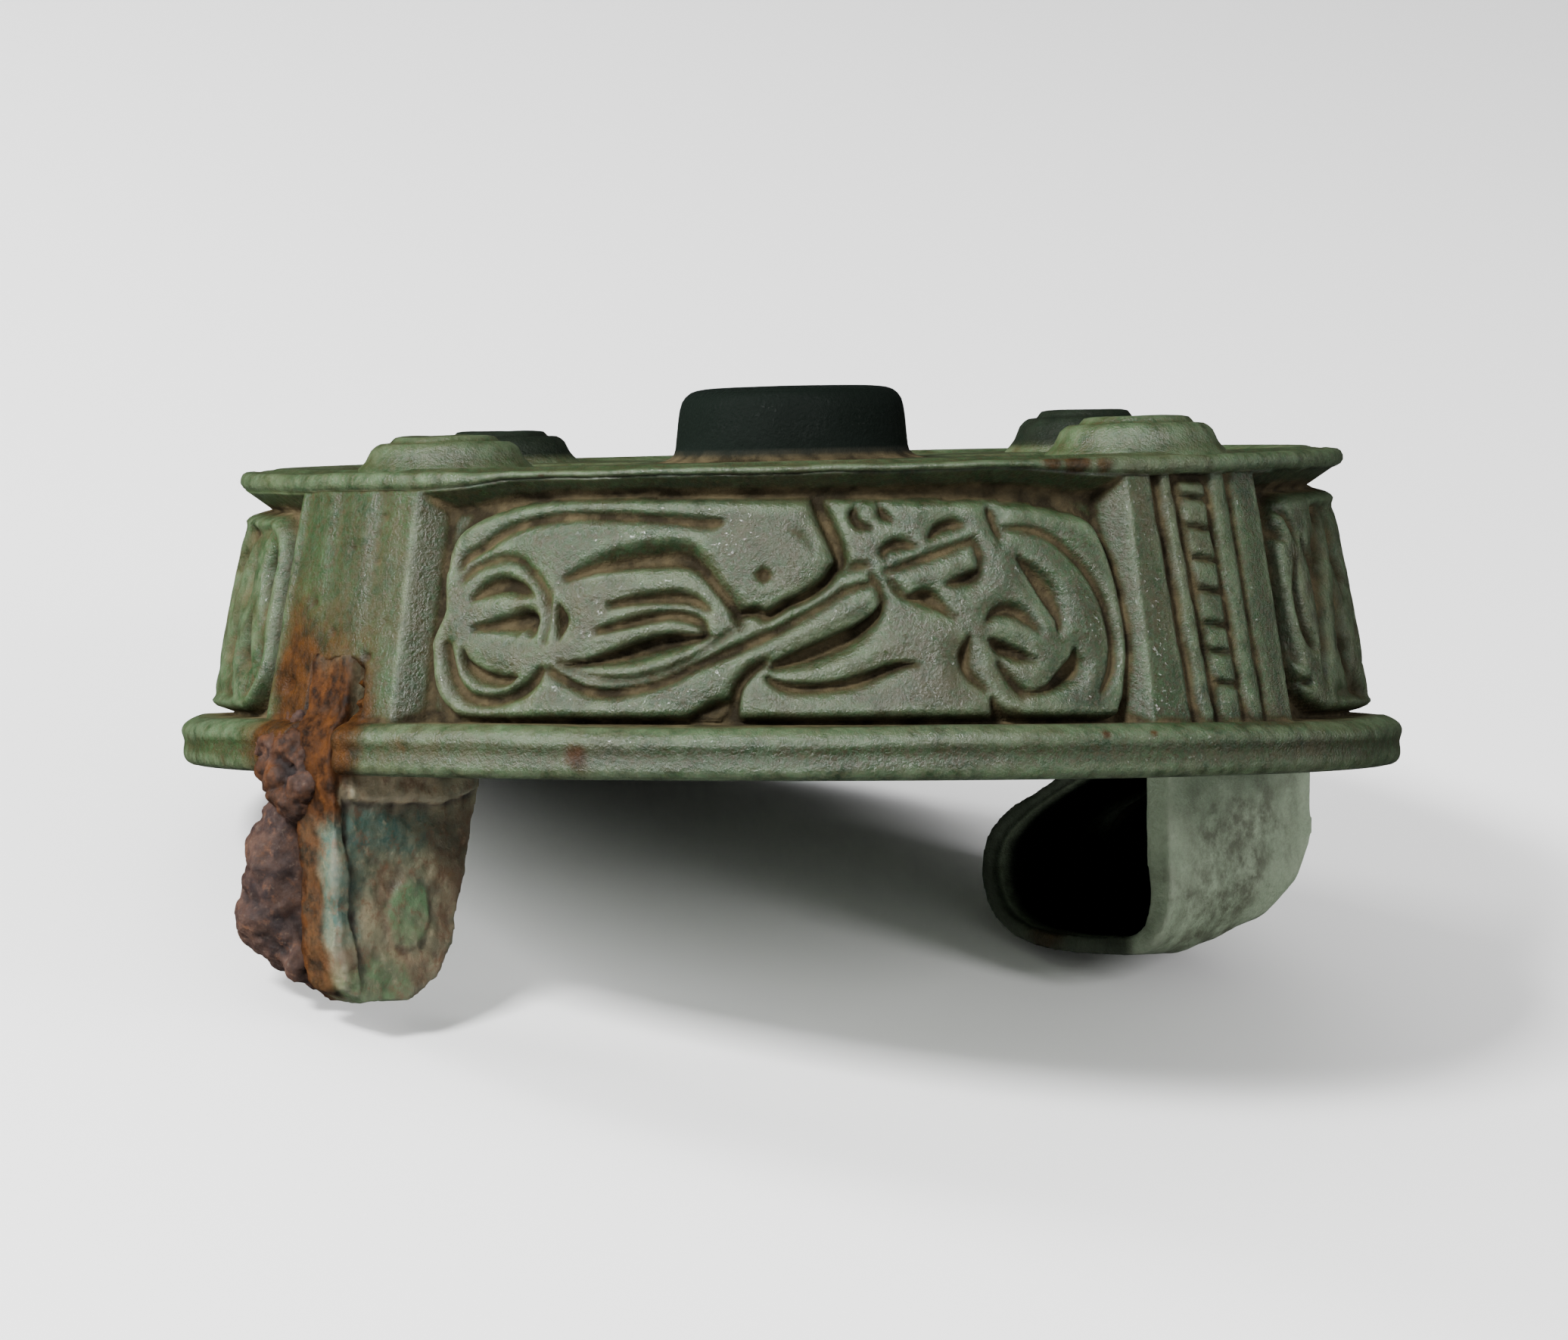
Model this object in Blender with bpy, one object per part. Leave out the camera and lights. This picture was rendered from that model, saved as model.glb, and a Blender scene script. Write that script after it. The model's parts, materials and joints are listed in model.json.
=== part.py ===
"""Box brooch: a hollow cast drum with carved sides, the base plate that closes it, and the iron of its pin.

The base plate is cast with the hinge lug and the pin catch. Lengths are millimetres until a mesh is made.
Heights count from the underside of the drum, and angles run round the drum from the front,
which faces -Y, towards +X. At the end the whole brooch is laid down as it lies on a table, tipped over its
lug and its catch onto the edge of the rim.
"""

import math

import bmesh
import bpy
import numpy as np
from mathutils import Vector
from mathutils.bvhtree import BVHTree

MM = 0.001

# Fits between the pieces
GAP = 0.3

# Drum wall, rim and lip
FOOT_RADIUS = 23.15
WALL_LEAN = 0.19
WALL_THICKNESS = 2.3
TOP_THICKNESS = 1.6
TOP_HEIGHT = 11.95
TOP_SLOPE_X = 0.023
TOP_SLOPE_Y = 0.036
RIM_HEIGHT = 1.9
RIM_REACH = 0.8
LIP_HEIGHT = 0.75
LIP_REACH = 0.42

# Pilasters stand between four carved panels
PILASTER_ANGLES = (-48.2, 43.6, 131.8, 223.6)
PILASTER_WIDTH = 19.2
WORN_PILASTER = 0
PILASTER_RIB_DEPTH = 0.35
LADDER_CELLS = 8

# Panels
GROUND_DEPTH = 1.25
FIELD_DEPTHS = (0.4, 0.6, 0.4, 0.2)
BEVEL = 0.8
FIELD_MARGIN = 0.9
FIELD_CORNER = 3.0
FRONT_COLUMNS = 60
SIDE_COLUMNS = 18
PILASTER_COLUMNS = 10
WORN_COLUMNS = 4
ROWS_PER_CELL = 2

# The space of the front panel in which the carving below is measured
CARVED_LEFT = -15.1
CARVED_RIGHT = 13.1
CARVED_BOTTOM = 2.0
CARVED_TOP = 10.05

# Carving of a panel: depth, half width, whether the ends are pointed, and the places it passes
CARVING = (
    (0.60, 0.38, False, (-13.0, 4.7), (-12.4, 3.2), (-10.9, 2.75), (-9.3, 3.4), (-8.95, 4.9), (-9.0, 6.5)),
    (0.70, 0.50, True, (-12.3, 6.4), (-10.9, 6.95), (-9.5, 6.5)),
    (0.70, 0.50, True, (-12.2, 4.9), (-11.0, 4.3), (-9.7, 4.6)),
    (0.85, 0.50, True, (-8.3, 7.1), (-5.0, 7.75), (-3.2, 7.3), (-1.9, 5.8)),
    (0.60, 0.40, True, (-7.0, 5.8), (-4.4, 6.25), (-3.0, 5.8)),
    (0.85, 0.50, True, (-8.2, 4.1), (-5.2, 4.75), (-2.9, 5.15)),
    (0.55, 0.35, False, (-8.7, 3.85), (-6.5, 3.05), (-3.3, 4.05), (0.0, 5.6), (2.9, 6.95)),
    (0.85, 0.42, False, (0.9, 9.9), (1.65, 8.2), (1.3, 7.1), (-0.3, 6.2), (-1.9, 5.8)),
    (0.85, 0.55, True, (3.3, 6.4), (2.2, 5.2), (0.2, 4.35), (-1.0, 4.1)),
    (0.75, 0.42, True, (-0.9, 3.4), (1.3, 3.3), (4.4, 4.1)),
    (0.85, 0.42, False, (-2.1, 2.2), (-1.8, 3.4), (-0.9, 4.1)),
    (0.65, 0.50, True, (3.9, 6.5), (4.9, 6.45), (5.9, 5.7)),
    (0.50, 0.38, True, (3.2, 7.8), (5.1, 8.2), (6.9, 8.6)),
    (0.50, 0.35, False, (7.9, 8.95), (10.6, 7.95), (11.9, 5.4), (11.3, 3.1)),
    (0.70, 0.55, True, (8.2, 8.0), (9.4, 6.6), (9.7, 5.1)),
    (0.65, 0.45, True, (6.9, 5.2), (8.0, 4.7), (8.9, 4.4)),
    (0.70, 0.55, True, (8.1, 3.05), (10.1, 3.8), (10.4, 4.8)),
)

# Bosses of the top
BOSS_ANGLES = (-48.2, 47.6, 135.3, 224.3)
MIDDLE_BOSS_RADIUS = 4.53
MIDDLE_BOSS_HEIGHT = 2.9
OUTER_BOSS_RADIUS = 2.8
OUTER_BOSS_HEIGHT = 1.35
OUTER_BOSS_INSET = 3.84
BOSS_SEGMENTS = 24
TOP_FIELD_DEPTH = 0.5
TOP_FIELD_BORDER = 2.07
TOP_FIELD_INSET = 1.84
TOP_FIELD_SPAN = 44.0
TOP_FIELD_STEPS = 10

# Base plate
PLATE_THICKNESS = 1.2
ROOT_OVERLAP = 0.5
PLATE_SEGMENTS = 64

# Hinge lug with its tang, on the line of the near left pilaster
LUG_THICKNESS = 2.2
LUG_PROUD = 0.35
LUG_ROOT = 7.0
LUG_DROP = 8.4
TANG_THICKNESS = 1.15
TANG_TOP = 4.15
TANG_PROUD = 0.1
TANG_SIDE_GAP = 0.8
AXLE_RADIUS = 0.95
AXLE_PROUD = 0.25
AXLE_DROP = 5.3
AXLE_INSET = 3.6

# Pin catch at the far right, a bent channel
CATCH_ANGLE = 42.0
CATCH_BEARING = 23.34
CATCH_PROUD = 0.32
CATCH_LENGTH = 9.55
CATCH_WIDTH = 9.8
CATCH_DROP = 7.9
CATCH_WALL = 1.3
CATCH_BENDS = (0.3, 0.55, 0.8, 0.96, 1.0)
CATCH_RISES = (0.0, 0.06, 0.14, 0.28, 0.45)

# Iron left of the pin
IRON_LENGTH = 6.2
IRON_THICKNESS = 4.5
IRON_SHORT = 0.4
IRON_LUMP = 0.3


def clear_scene():
    for item in list(bpy.data.objects):
        bpy.data.objects.remove(item, do_unlink=True)


def material(name, colour, metallic, roughness):
    """Return one plain Principled material."""
    made = bpy.data.materials.new(name)
    made.use_nodes = True
    shader = made.node_tree.nodes["Principled BSDF"]
    shader.inputs["Base Color"].default_value = (*colour, 1.0)
    shader.inputs["Metallic"].default_value = metallic
    shader.inputs["Roughness"].default_value = roughness
    return made


def solid(name, points, faces, finish=None):
    """Make an object from points in millimetres above the drum's underside."""
    placed = [(x * MM, y * MM, z * MM) for x, y, z in points]
    mesh = bpy.data.meshes.new(name)
    mesh.from_pydata(placed, [], faces)
    facing = bmesh.new()
    facing.from_mesh(mesh)
    bmesh.ops.recalc_face_normals(facing, faces=facing.faces)
    facing.to_mesh(mesh)
    facing.free()
    thing = bpy.data.objects.new(name, mesh)
    bpy.context.scene.collection.objects.link(thing)
    if finish:
        mesh.materials.append(finish)
    return thing


def combine(target, tool, operation):
    """Add or cut a tool solid, and keep the tool out of the part."""
    step = target.modifiers.new(tool.name, "BOOLEAN")
    step.operation = operation
    step.solver = "EXACT"
    step.object = tool
    tool.hide_render = True
    tool.display_type = "WIRE"


def stack(rings):
    """Return points and faces of a closed solid from rings of equal length, first to last."""
    count = len(rings[0])
    points = [tuple(point) for ring in rings for point in ring]
    faces = [tuple(range(count - 1, -1, -1))]
    for level in range(len(rings) - 1):
        low = level * count
        for side in range(count):
            after = (side + 1) % count
            faces.append((low + side, low + after, low + count + after, low + count + side))
    faces.append(tuple(range((len(rings) - 1) * count, len(rings) * count)))
    return points, faces


def wall_radius(height):
    return FOOT_RADIUS - (height - RIM_HEIGHT) * WALL_LEAN


def top_height(x, y):
    return TOP_HEIGHT + TOP_SLOPE_X * x + TOP_SLOPE_Y * y


def curve_through(places, steps):
    """Return points of a smooth curve through the places."""
    ends = [places[0], *places, places[-1]]
    found = []
    for index in range(1, len(ends) - 2):
        before, start, end, after = (np.array(ends[index + k]) for k in (-1, 0, 1, 2))
        for t in np.linspace(0.0, 1.0, steps, endpoint=False):
            bend = 2 * start + (end - before) * t
            bend = bend + (2 * before - 5 * start + 4 * end - after) * t**2
            bend = bend + (3 * start - before - 3 * end + after) * t**3
            found.append(0.5 * bend)
    found.append(np.array(places[-1]))
    return np.array(found)


def carved(across, up):
    """Return how deep the strokes of the carving cut at the given places."""
    depth = np.zeros_like(across)
    for cut, half_width, pointed, *places in CARVING:
        line = curve_through(places, 8)
        run = np.linspace(0.0, 1.0, len(line))
        taper = np.sin(np.pi * run) ** 0.6 if pointed else np.ones(len(line))
        for (a, b), share in zip(line, np.maximum(taper, 0.15)):
            near = ((across - a) ** 2 + (up - b) ** 2) / (half_width * share) ** 2
            depth = np.maximum(depth, cut * share * np.clip(1.6 * (1.0 - near), 0.0, 1.0))
    return depth


def panel_relief(across, up, field_depth):
    """Return the depth of a carved panel, with 0..1 running across it and 0..1 running up it."""
    width = CARVED_RIGHT - CARVED_LEFT
    height = CARVED_TOP - CARVED_BOTTOM
    a = CARVED_LEFT + across * width
    b = CARVED_BOTTOM + up * height
    side = np.minimum(a - CARVED_LEFT, CARVED_RIGHT - a)
    opening = np.clip(side / BEVEL, 0.0, 1.0)
    half_width = width / 2 - FIELD_MARGIN - BEVEL / 2
    half_height = height / 2 - 0.05
    x = np.abs(a - (CARVED_LEFT + CARVED_RIGHT) / 2) - half_width + FIELD_CORNER
    y = np.abs(b - (CARVED_BOTTOM + CARVED_TOP) / 2) - half_height + FIELD_CORNER
    reach = np.hypot(np.maximum(x, 0.0), np.maximum(y, 0.0)) - FIELD_CORNER
    raised = np.clip(-reach / 0.5, 0.0, 1.0)
    level = GROUND_DEPTH - (GROUND_DEPTH - field_depth) * np.sqrt(raised)
    return opening * np.minimum(level + raised * carved(a, b), GROUND_DEPTH)


def pilaster_relief(across, up, _):
    """Return the depth of a ribbed pilaster, with a ladder of cells between its two grooves."""
    groove = np.minimum(np.abs(across - 0.3), np.abs(across - 0.7)) < 0.02
    ladder = np.abs(across - 0.5) < 0.12
    rung = np.abs((up * LADDER_CELLS) % 1.0 - 0.5) > 0.4
    depth = np.where(groove, PILASTER_RIB_DEPTH, 0.0)
    return np.where(ladder & rung, 0.7 * PILASTER_RIB_DEPTH, depth)


def softened_panel(across, up, field_depth):
    """Return the panel's depth evened out over one cell of the drum's grid, so that no line turns ragged."""
    parts = []
    for side in (-0.35, 0.0, 0.35):
        for rise in (-0.35, 0.0, 0.35):
            near_across = np.clip(across + side / FRONT_COLUMNS, 0.0, 1.0)
            near_up = np.clip(up + rise / (LADDER_CELLS * ROWS_PER_CELL), 0.0, 1.0)
            parts.append(panel_relief(near_across, near_up, field_depth))
    return np.mean(parts, axis=0)


def plain_relief(across, up, _):
    """Return no depth, for the pilaster that is worn smooth."""
    return 0.0 * across * up


def sectors():
    """Return the sectors round the drum: start angle, end angle, columns, relief and depth of its field."""
    found = []
    half = PILASTER_WIDTH / 2
    for index, middle in enumerate(PILASTER_ANGLES):
        following = PILASTER_ANGLES[(index + 1) % len(PILASTER_ANGLES)]
        following = following + 360.0 if following < middle else following
        worn = index == WORN_PILASTER
        relief = plain_relief if worn else pilaster_relief
        pilaster_columns = WORN_COLUMNS if worn else PILASTER_COLUMNS
        panel_columns = FRONT_COLUMNS if worn else SIDE_COLUMNS
        found.append((middle - half, middle + half, pilaster_columns, relief, 0.0))
        found.append((middle + half, following - half, panel_columns, softened_panel, FIELD_DEPTHS[index]))
    return found


def drum_columns(ups):
    """Return for every column its angle, the depths up it, and the depths midway to its neighbours."""
    columns = []
    mids = (ups[1:] + ups[:-1]) / 2
    for start, end, count, relief, field_depth in sectors():
        shares = np.arange(count) / count
        depths = relief(*np.meshgrid(shares, ups, indexing="ij"), field_depth)
        between = relief(*np.meshgrid(shares + 0.5 / count, mids, indexing="ij"), field_depth)
        angles = np.radians(start + shares * (end - start))
        columns += list(zip(angles.tolist(), depths, between))
    return columns


def drum_body():
    """Return the points and faces of the drum: the hollow, then the outside from the rim to the lip."""
    ups = np.linspace(0.0, 1.0, LADDER_CELLS * ROWS_PER_CELL + 1)
    columns = drum_columns(ups)
    edge = wall_radius(TOP_HEIGHT)
    foot_height = RIM_HEIGHT + 0.1
    rim = ((0.0, 0.4), (0.2, 1.0), (0.7, 0.95), (0.95, 0.3))
    lip = ((LIP_HEIGHT, 0.3), (0.6 * LIP_HEIGHT, 1.0), (0.0, 0.6))
    ceiling = TOP_HEIGHT - TOP_THICKNESS - (abs(TOP_SLOPE_X) + abs(TOP_SLOPE_Y)) * edge
    hollow = [(wall_radius(ceiling) - WALL_THICKNESS, ceiling), (FOOT_RADIUS - WALL_THICKNESS, 0.0)]
    foot = [(FOOT_RADIUS + reach * RIM_REACH, share * RIM_HEIGHT) for share, reach in rim]
    rings = [[] for _ in range(len(hollow) + len(foot) + len(ups) + len(lip))]
    for angle, depths, _ in columns:
        east, north = math.sin(angle), -math.cos(angle)
        top = top_height(edge * east, edge * north)
        heights = foot_height + ups * (top - LIP_HEIGHT - 0.4 - foot_height)
        panel = [(wall_radius(height) - depth, height) for height, depth in zip(heights, depths)]
        crown = [(edge + reach * LIP_REACH, top - below) for below, reach in lip]
        for ring, (radius, height) in zip(rings, [*hollow, *foot, *panel, *crown]):
            ring.append((radius * east, radius * north, height))
    points, faces = stack(rings)
    return points, split_cells(faces, columns, len(hollow) + len(foot))


def split_cells(faces, columns, first):
    """Split each cell of the carved rows along the diagonal that lies nearer the carving."""
    count = len(columns)
    split = []
    for face in faces:
        row = face[0] // count - first
        if len(face) != 4 or not 0 <= row < LADDER_CELLS * ROWS_PER_CELL:
            split.append(face)
            continue
        side, after = face[0] % count, face[1] % count
        here, there = columns[side][1], columns[after][1]
        middle = columns[side][2][row]
        rising = abs((here[row] + there[row + 1]) / 2 - middle)
        falling = abs((there[row] + here[row + 1]) / 2 - middle)
        a, b, c, d = face
        split += [(a, b, c), (a, c, d)] if rising <= falling else [(a, b, d), (b, c, d)]
    return split


def turned(name, middle, outline, segments, base):
    """Make a turned solid about an upright axis from outline points of radius and height."""
    rings = []
    for radius, height in outline:
        ring = []
        for step in range(segments):
            turn = 2 * math.pi * step / segments
            place = (middle[0] + radius * math.cos(turn), middle[1] + radius * math.sin(turn))
            ring.append((*place, base + height))
        rings.append(ring)
    return solid(name, *stack(rings))


def boss(name, middle, radius, height):
    """Make a boss with a soft edge and a slightly domed top, sunk into the top of the drum."""
    outline = [(radius, -0.8), (radius, 0.25 * height), (0.94 * radius, 0.7 * height)]
    outline += [(0.78 * radius, 0.92 * height), (0.45 * radius, height)]
    return turned(name, middle, outline, BOSS_SEGMENTS, top_height(*middle))


def top_field(name, middle):
    """Make the cutter of one sunk field of the top, a piece of a ring between two bosses."""
    shares = [step / TOP_FIELD_STEPS - 0.5 for step in range(TOP_FIELD_STEPS + 1)]
    turns = [math.radians(middle + TOP_FIELD_SPAN * share) for share in shares]
    outer = wall_radius(TOP_HEIGHT) - TOP_FIELD_INSET
    inner = MIDDLE_BOSS_RADIUS + TOP_FIELD_BORDER
    outline = [(outer * math.sin(t), -outer * math.cos(t)) for t in turns]
    outline += [(inner * math.sin(t), -inner * math.cos(t)) for t in reversed(turns)]
    floor = [(x, y, top_height(x, y) - TOP_FIELD_DEPTH) for x, y in outline]
    roof = [(x, y, top_height(x, y) + 1.0) for x, y in outline]
    return solid(name, *stack([floor, roof]))


def pin_frame():
    """Return the outward direction of the lug and the direction of its near face."""
    angle = math.radians(PILASTER_ANGLES[WORN_PILASTER])
    outward = np.array([math.sin(angle), -math.cos(angle)])
    near = np.array([math.cos(angle), math.sin(angle)])
    return outward, near


def plate_along(name, outline, low, high, origin, along, across, finish=None):
    """Make a flat solid whose outline of run and height stands upright, from low to high across."""
    sides = []
    for offset in (low, high):
        side = []
        for run, height in outline:
            place = np.array(origin) + run * np.array(along) + offset * np.array(across)
            side.append((float(place[0]), float(place[1]), height))
        sides.append(side)
    return solid(name, *stack(sides), finish)


def lug_tools():
    """Return the lug with its tang, the round end of its axle, and the slot that the tang needs."""
    outward, near = pin_frame()
    half = LUG_THICKNESS / 2
    outer = FOOT_RADIUS + LUG_PROUD
    root = outer - LUG_ROOT
    neck = FOOT_RADIUS - WALL_THICKNESS - 2 * GAP
    tang_end = wall_radius(TANG_TOP) + TANG_PROUD
    outline = [
        (neck, ROOT_OVERLAP), (root, ROOT_OVERLAP), (root + 0.3, -0.15 * LUG_DROP),
        (root + 0.8, -0.45 * LUG_DROP), (root + 1.4, -0.77 * LUG_DROP), (root + 2.1, -0.91 * LUG_DROP),
        (root + 3.5, -LUG_DROP),
        (outer - 1.9, -LUG_DROP), (outer - 0.8, -0.95 * LUG_DROP), (outer - 0.2, -0.75 * LUG_DROP),
        (outer, -0.12 * LUG_DROP), (outer, 0.5 * RIM_HEIGHT), (tang_end, TANG_TOP),
        (tang_end - TANG_THICKNESS, TANG_TOP), (outer - TANG_THICKNESS, -GAP), (neck, -GAP),
    ]
    lug = plate_along("lug_tool", outline, -half, half, (0.0, 0.0), outward, near)
    slot = [
        (outer - TANG_THICKNESS - GAP, -1.0), (outer + 2.0, -1.0), (outer + 2.0, TANG_TOP + GAP),
        (tang_end - TANG_THICKNESS - GAP, TANG_TOP + GAP), (outer - TANG_THICKNESS - GAP, 0.0),
    ]
    slot = plate_along("slot_cutter", slot, -half - GAP, half + TANG_SIDE_GAP, (0.0, 0.0), outward, near)
    spot = []
    for step in range(16):
        turn = 2 * math.pi * step / 16
        run = outer - AXLE_INSET + AXLE_RADIUS * math.cos(turn)
        spot.append((run, -AXLE_DROP + AXLE_RADIUS * math.sin(turn)))
    axle = plate_along("axle_tool", spot, half - 0.5, half + AXLE_PROUD, (0.0, 0.0), outward, near)
    return lug, axle, slot


def catch_rings(loop, shares):
    """Return rings of the catch's section at shares of its length. Its floor rises towards its far end."""
    turn = math.radians(90.0 - CATCH_ANGLE)
    along = np.array([math.cos(turn), math.sin(turn)])
    across = np.array([-math.sin(turn), math.cos(turn)])
    bearing = math.radians(CATCH_BEARING)
    end = (FOOT_RADIUS + CATCH_PROUD) * np.array([math.cos(bearing), math.sin(bearing)])
    rings = []
    for share in shares:
        rise = float(np.interp(share, CATCH_BENDS, CATCH_RISES))
        ring = []
        for offset, height in loop:
            place = end + (share - 1.0) * CATCH_LENGTH * along + offset * across
            ring.append((float(place[0]), float(place[1]), float(-GAP + (height + GAP) * (1.0 - rise))))
        rings.append(ring)
    return rings


def catch_tools():
    """Make the catch, a sheet that drops from the plate and bends under, its far end and its root."""
    section = np.array([
        (0.0, -GAP), (0.0, -0.55 * CATCH_DROP), (0.02 * CATCH_WIDTH, -0.85 * CATCH_DROP),
        (0.12 * CATCH_WIDTH, -CATCH_DROP), (0.5 * CATCH_WIDTH, -CATCH_DROP),
        (0.82 * CATCH_WIDTH, -0.94 * CATCH_DROP),
        (0.97 * CATCH_WIDTH, -0.81 * CATCH_DROP), (CATCH_WIDTH, -0.56 * CATCH_DROP),
        (0.87 * CATCH_WIDTH, -0.36 * CATCH_DROP), (0.5 * CATCH_WIDTH, -0.14 * CATCH_DROP),
    ])
    edge = np.vstack([section[1:2] - section[0:1], section[2:] - section[:-2], section[-1:] - section[-2:-1]])
    normal = np.column_stack([-edge[:, 1], edge[:, 0]]) / np.linalg.norm(edge, axis=1)[:, None]
    inner = section + CATCH_WALL * normal
    inner[0, 1] = section[0, 1]
    sheet = np.vstack([section, inner[::-1]])
    channel = solid("catch_tool", *stack(catch_rings(sheet, (0.0, *CATCH_BENDS))))
    closing = (section + inner) / 2
    closing[0, 1] -= CATCH_WALL / 2
    wall_start = 1.0 - 1.2 * CATCH_WALL / CATCH_LENGTH
    wall_shares = [wall_start, *(share for share in CATCH_BENDS if wall_start < share < 1.0), 0.985]
    wall = solid("catch_end_tool", *stack(catch_rings(closing, wall_shares)))
    root_end = (FOOT_RADIUS - WALL_THICKNESS - 2 * GAP) / (FOOT_RADIUS + CATCH_PROUD)
    root_end = 1.0 - (1.0 - root_end) * (FOOT_RADIUS + CATCH_PROUD) / 0.9 / CATCH_LENGTH
    strip = ((0.0, ROOT_OVERLAP), (0.0, -1.0), (CATCH_WALL, -1.0), (CATCH_WALL, ROOT_OVERLAP))
    root = solid("catch_root_tool", *stack(catch_rings(strip, (0.0, root_end))))
    return channel, wall, root


def iron_remains(finish):
    """Make the lump of iron on the far side of the lug."""
    outward, near = pin_frame()
    face = -LUG_THICKNESS / 2 - GAP
    middle_run = FOOT_RADIUS + LUG_PROUD - 0.2 - IRON_LENGTH / 2
    rings = []
    for level in range(1, 12):
        lift = math.pi * (level / 12 - 0.5)
        girth = math.cos(lift) ** 0.4
        ring = []
        for step in range(18):
            turn = 2 * math.pi * step / 18
            wave = math.sin(3 * turn + 2.3 * level) * math.cos(1.7 * turn + level)
            lump = 1.0 + IRON_LUMP / IRON_THICKNESS * wave
            run = middle_run + IRON_LENGTH / 2 * girth * lump * math.cos(turn)
            offset = face - IRON_THICKNESS * 0.45 + IRON_THICKNESS * 0.55 * girth * lump * math.sin(turn)
            offset = min(offset, face - 0.02 * girth)
            place = run * outward + offset * near
            height = -LUG_DROP / 2 + (LUG_DROP / 2 - IRON_SHORT) * math.sin(lift) / math.sin(5 * math.pi / 12)
            ring.append((float(place[0]), float(place[1]), height))
        rings.append(ring)
    return solid("iron_pin_remains", *stack([ring[::-1] for ring in rings]), finish)


def resting_turn(hull):
    """Return the turn that lays the hull on the face that its middle hangs over, tipping face by face."""
    skin = BVHTree.FromBMesh(hull)
    middle = Vector((0.0, 0.0, TOP_HEIGHT / 2 * MM))
    below = Vector((0.0, 0.0, -1.0))
    down = below
    for _ in hull.faces:
        _, facing, _, _ = skin.ray_cast(middle, down)
        if facing.dot(down) > 1.0 - 1e-9:
            break
        down = facing
    return down.rotation_difference(below)


def lay_down(pieces):
    """Lay the brooch down as it rests on a table, with the middle of its outline over the origin."""
    hull = bmesh.new()
    graph = bpy.context.evaluated_depsgraph_get()
    for piece in pieces:
        for vert in piece.evaluated_get(graph).data.vertices:
            hull.verts.new(vert.co)
    bmesh.ops.convex_hull(hull, input=hull.verts)
    turn = resting_turn(hull)
    places = np.array([turn @ vert.co for vert in hull.verts])
    hull.free()
    low, high = places.min(axis=0), places.max(axis=0)
    middle = (low + high) / 2

    resting = bpy.data.objects.new("resting_place", None)
    bpy.context.scene.collection.objects.link(resting)
    for thing in bpy.data.objects:
        if thing != resting:
            thing.parent = resting
    resting.rotation_mode = "QUATERNION"
    resting.rotation_quaternion = turn
    resting.location = (-middle[0], -middle[1], -low[2])


def build():
    clear_scene()
    patina = material("green_patina", (0.16, 0.24, 0.17), 0.3, 0.45)
    plate_patina = material("plate_patina", (0.2, 0.26, 0.2), 0.3, 0.5)
    rust = material("iron_rust", (0.09, 0.05, 0.04), 0.1, 0.8)

    drum = solid("drum", *drum_body(), patina)
    for index, angle in enumerate(BOSS_ANGLES):
        turn = math.radians(angle)
        reach = wall_radius(TOP_HEIGHT) - OUTER_BOSS_INSET
        place = (reach * math.sin(turn), -reach * math.cos(turn))
        combine(drum, boss(f"outer_boss_{index}", place, OUTER_BOSS_RADIUS, OUTER_BOSS_HEIGHT), "UNION")
        combine(drum, top_field(f"top_field_{index}", angle + 45.0), "DIFFERENCE")
    combine(drum, boss("middle_boss", (0.0, 0.0), MIDDLE_BOSS_RADIUS, MIDDLE_BOSS_HEIGHT), "UNION")

    lug, axle, slot = lug_tools()
    combine(drum, slot, "DIFFERENCE")

    rim_inside = FOOT_RADIUS - WALL_THICKNESS - GAP
    disc = [(rim_inside, 0.0), (rim_inside, PLATE_THICKNESS)]
    plate = turned("base_plate", (0.0, 0.0), disc, PLATE_SEGMENTS, 0.0)
    plate.data.materials.append(plate_patina)
    for tool in (lug, axle, *catch_tools()):
        combine(plate, tool, "UNION")

    lay_down([drum, plate, iron_remains(rust)])


build()
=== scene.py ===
"""Looks of the box brooch: the carved drum, its base plate with lug and catch, and the iron of its pin.

Lengths are millimetres and heights count from the underside of the drum, until a mesh is made. Places on the
wall are given as (u, z): u is the way round the wall from the front towards +X, on a circle of radius ROUND.
"""

import json
import math

import bmesh
import bpy
import numpy as np
from mathutils import Matrix, Vector


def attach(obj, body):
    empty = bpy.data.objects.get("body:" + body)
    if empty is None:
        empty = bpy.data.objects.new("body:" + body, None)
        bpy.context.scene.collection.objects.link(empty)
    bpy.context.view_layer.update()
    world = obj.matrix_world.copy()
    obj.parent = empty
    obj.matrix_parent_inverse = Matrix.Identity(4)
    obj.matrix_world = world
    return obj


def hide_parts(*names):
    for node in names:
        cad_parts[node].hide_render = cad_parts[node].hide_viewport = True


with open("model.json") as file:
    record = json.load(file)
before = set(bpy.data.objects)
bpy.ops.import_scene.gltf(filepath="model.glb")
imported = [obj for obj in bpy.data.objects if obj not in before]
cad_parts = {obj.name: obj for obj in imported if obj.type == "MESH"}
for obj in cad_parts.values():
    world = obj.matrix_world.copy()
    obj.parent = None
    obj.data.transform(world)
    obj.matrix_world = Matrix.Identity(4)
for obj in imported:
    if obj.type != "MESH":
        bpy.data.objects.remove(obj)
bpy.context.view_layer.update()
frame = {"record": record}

MM = 0.001
ROUND = 22.3
TURN = 2 * math.pi * ROUND

# The brooch lies tipped on a table. Where its hinge lug's foot went says where the upright drum goes
LUG_FOOT = next(mount for mount in frame["record"]["mounts"] if mount["name"] == "lug_foot")
LUG_FOOT_UPRIGHT = Vector((-15.51, -13.86, -8.4)) * MM
TIP = Vector((0, 0, -1)).rotation_difference(Vector(LUG_FOOT["axis"]))
RESTING = Matrix.Translation(Vector(LUG_FOOT["pos_m"]) - TIP @ LUG_FOOT_UPRIGHT) @ TIP.to_matrix().to_4x4()

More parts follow.
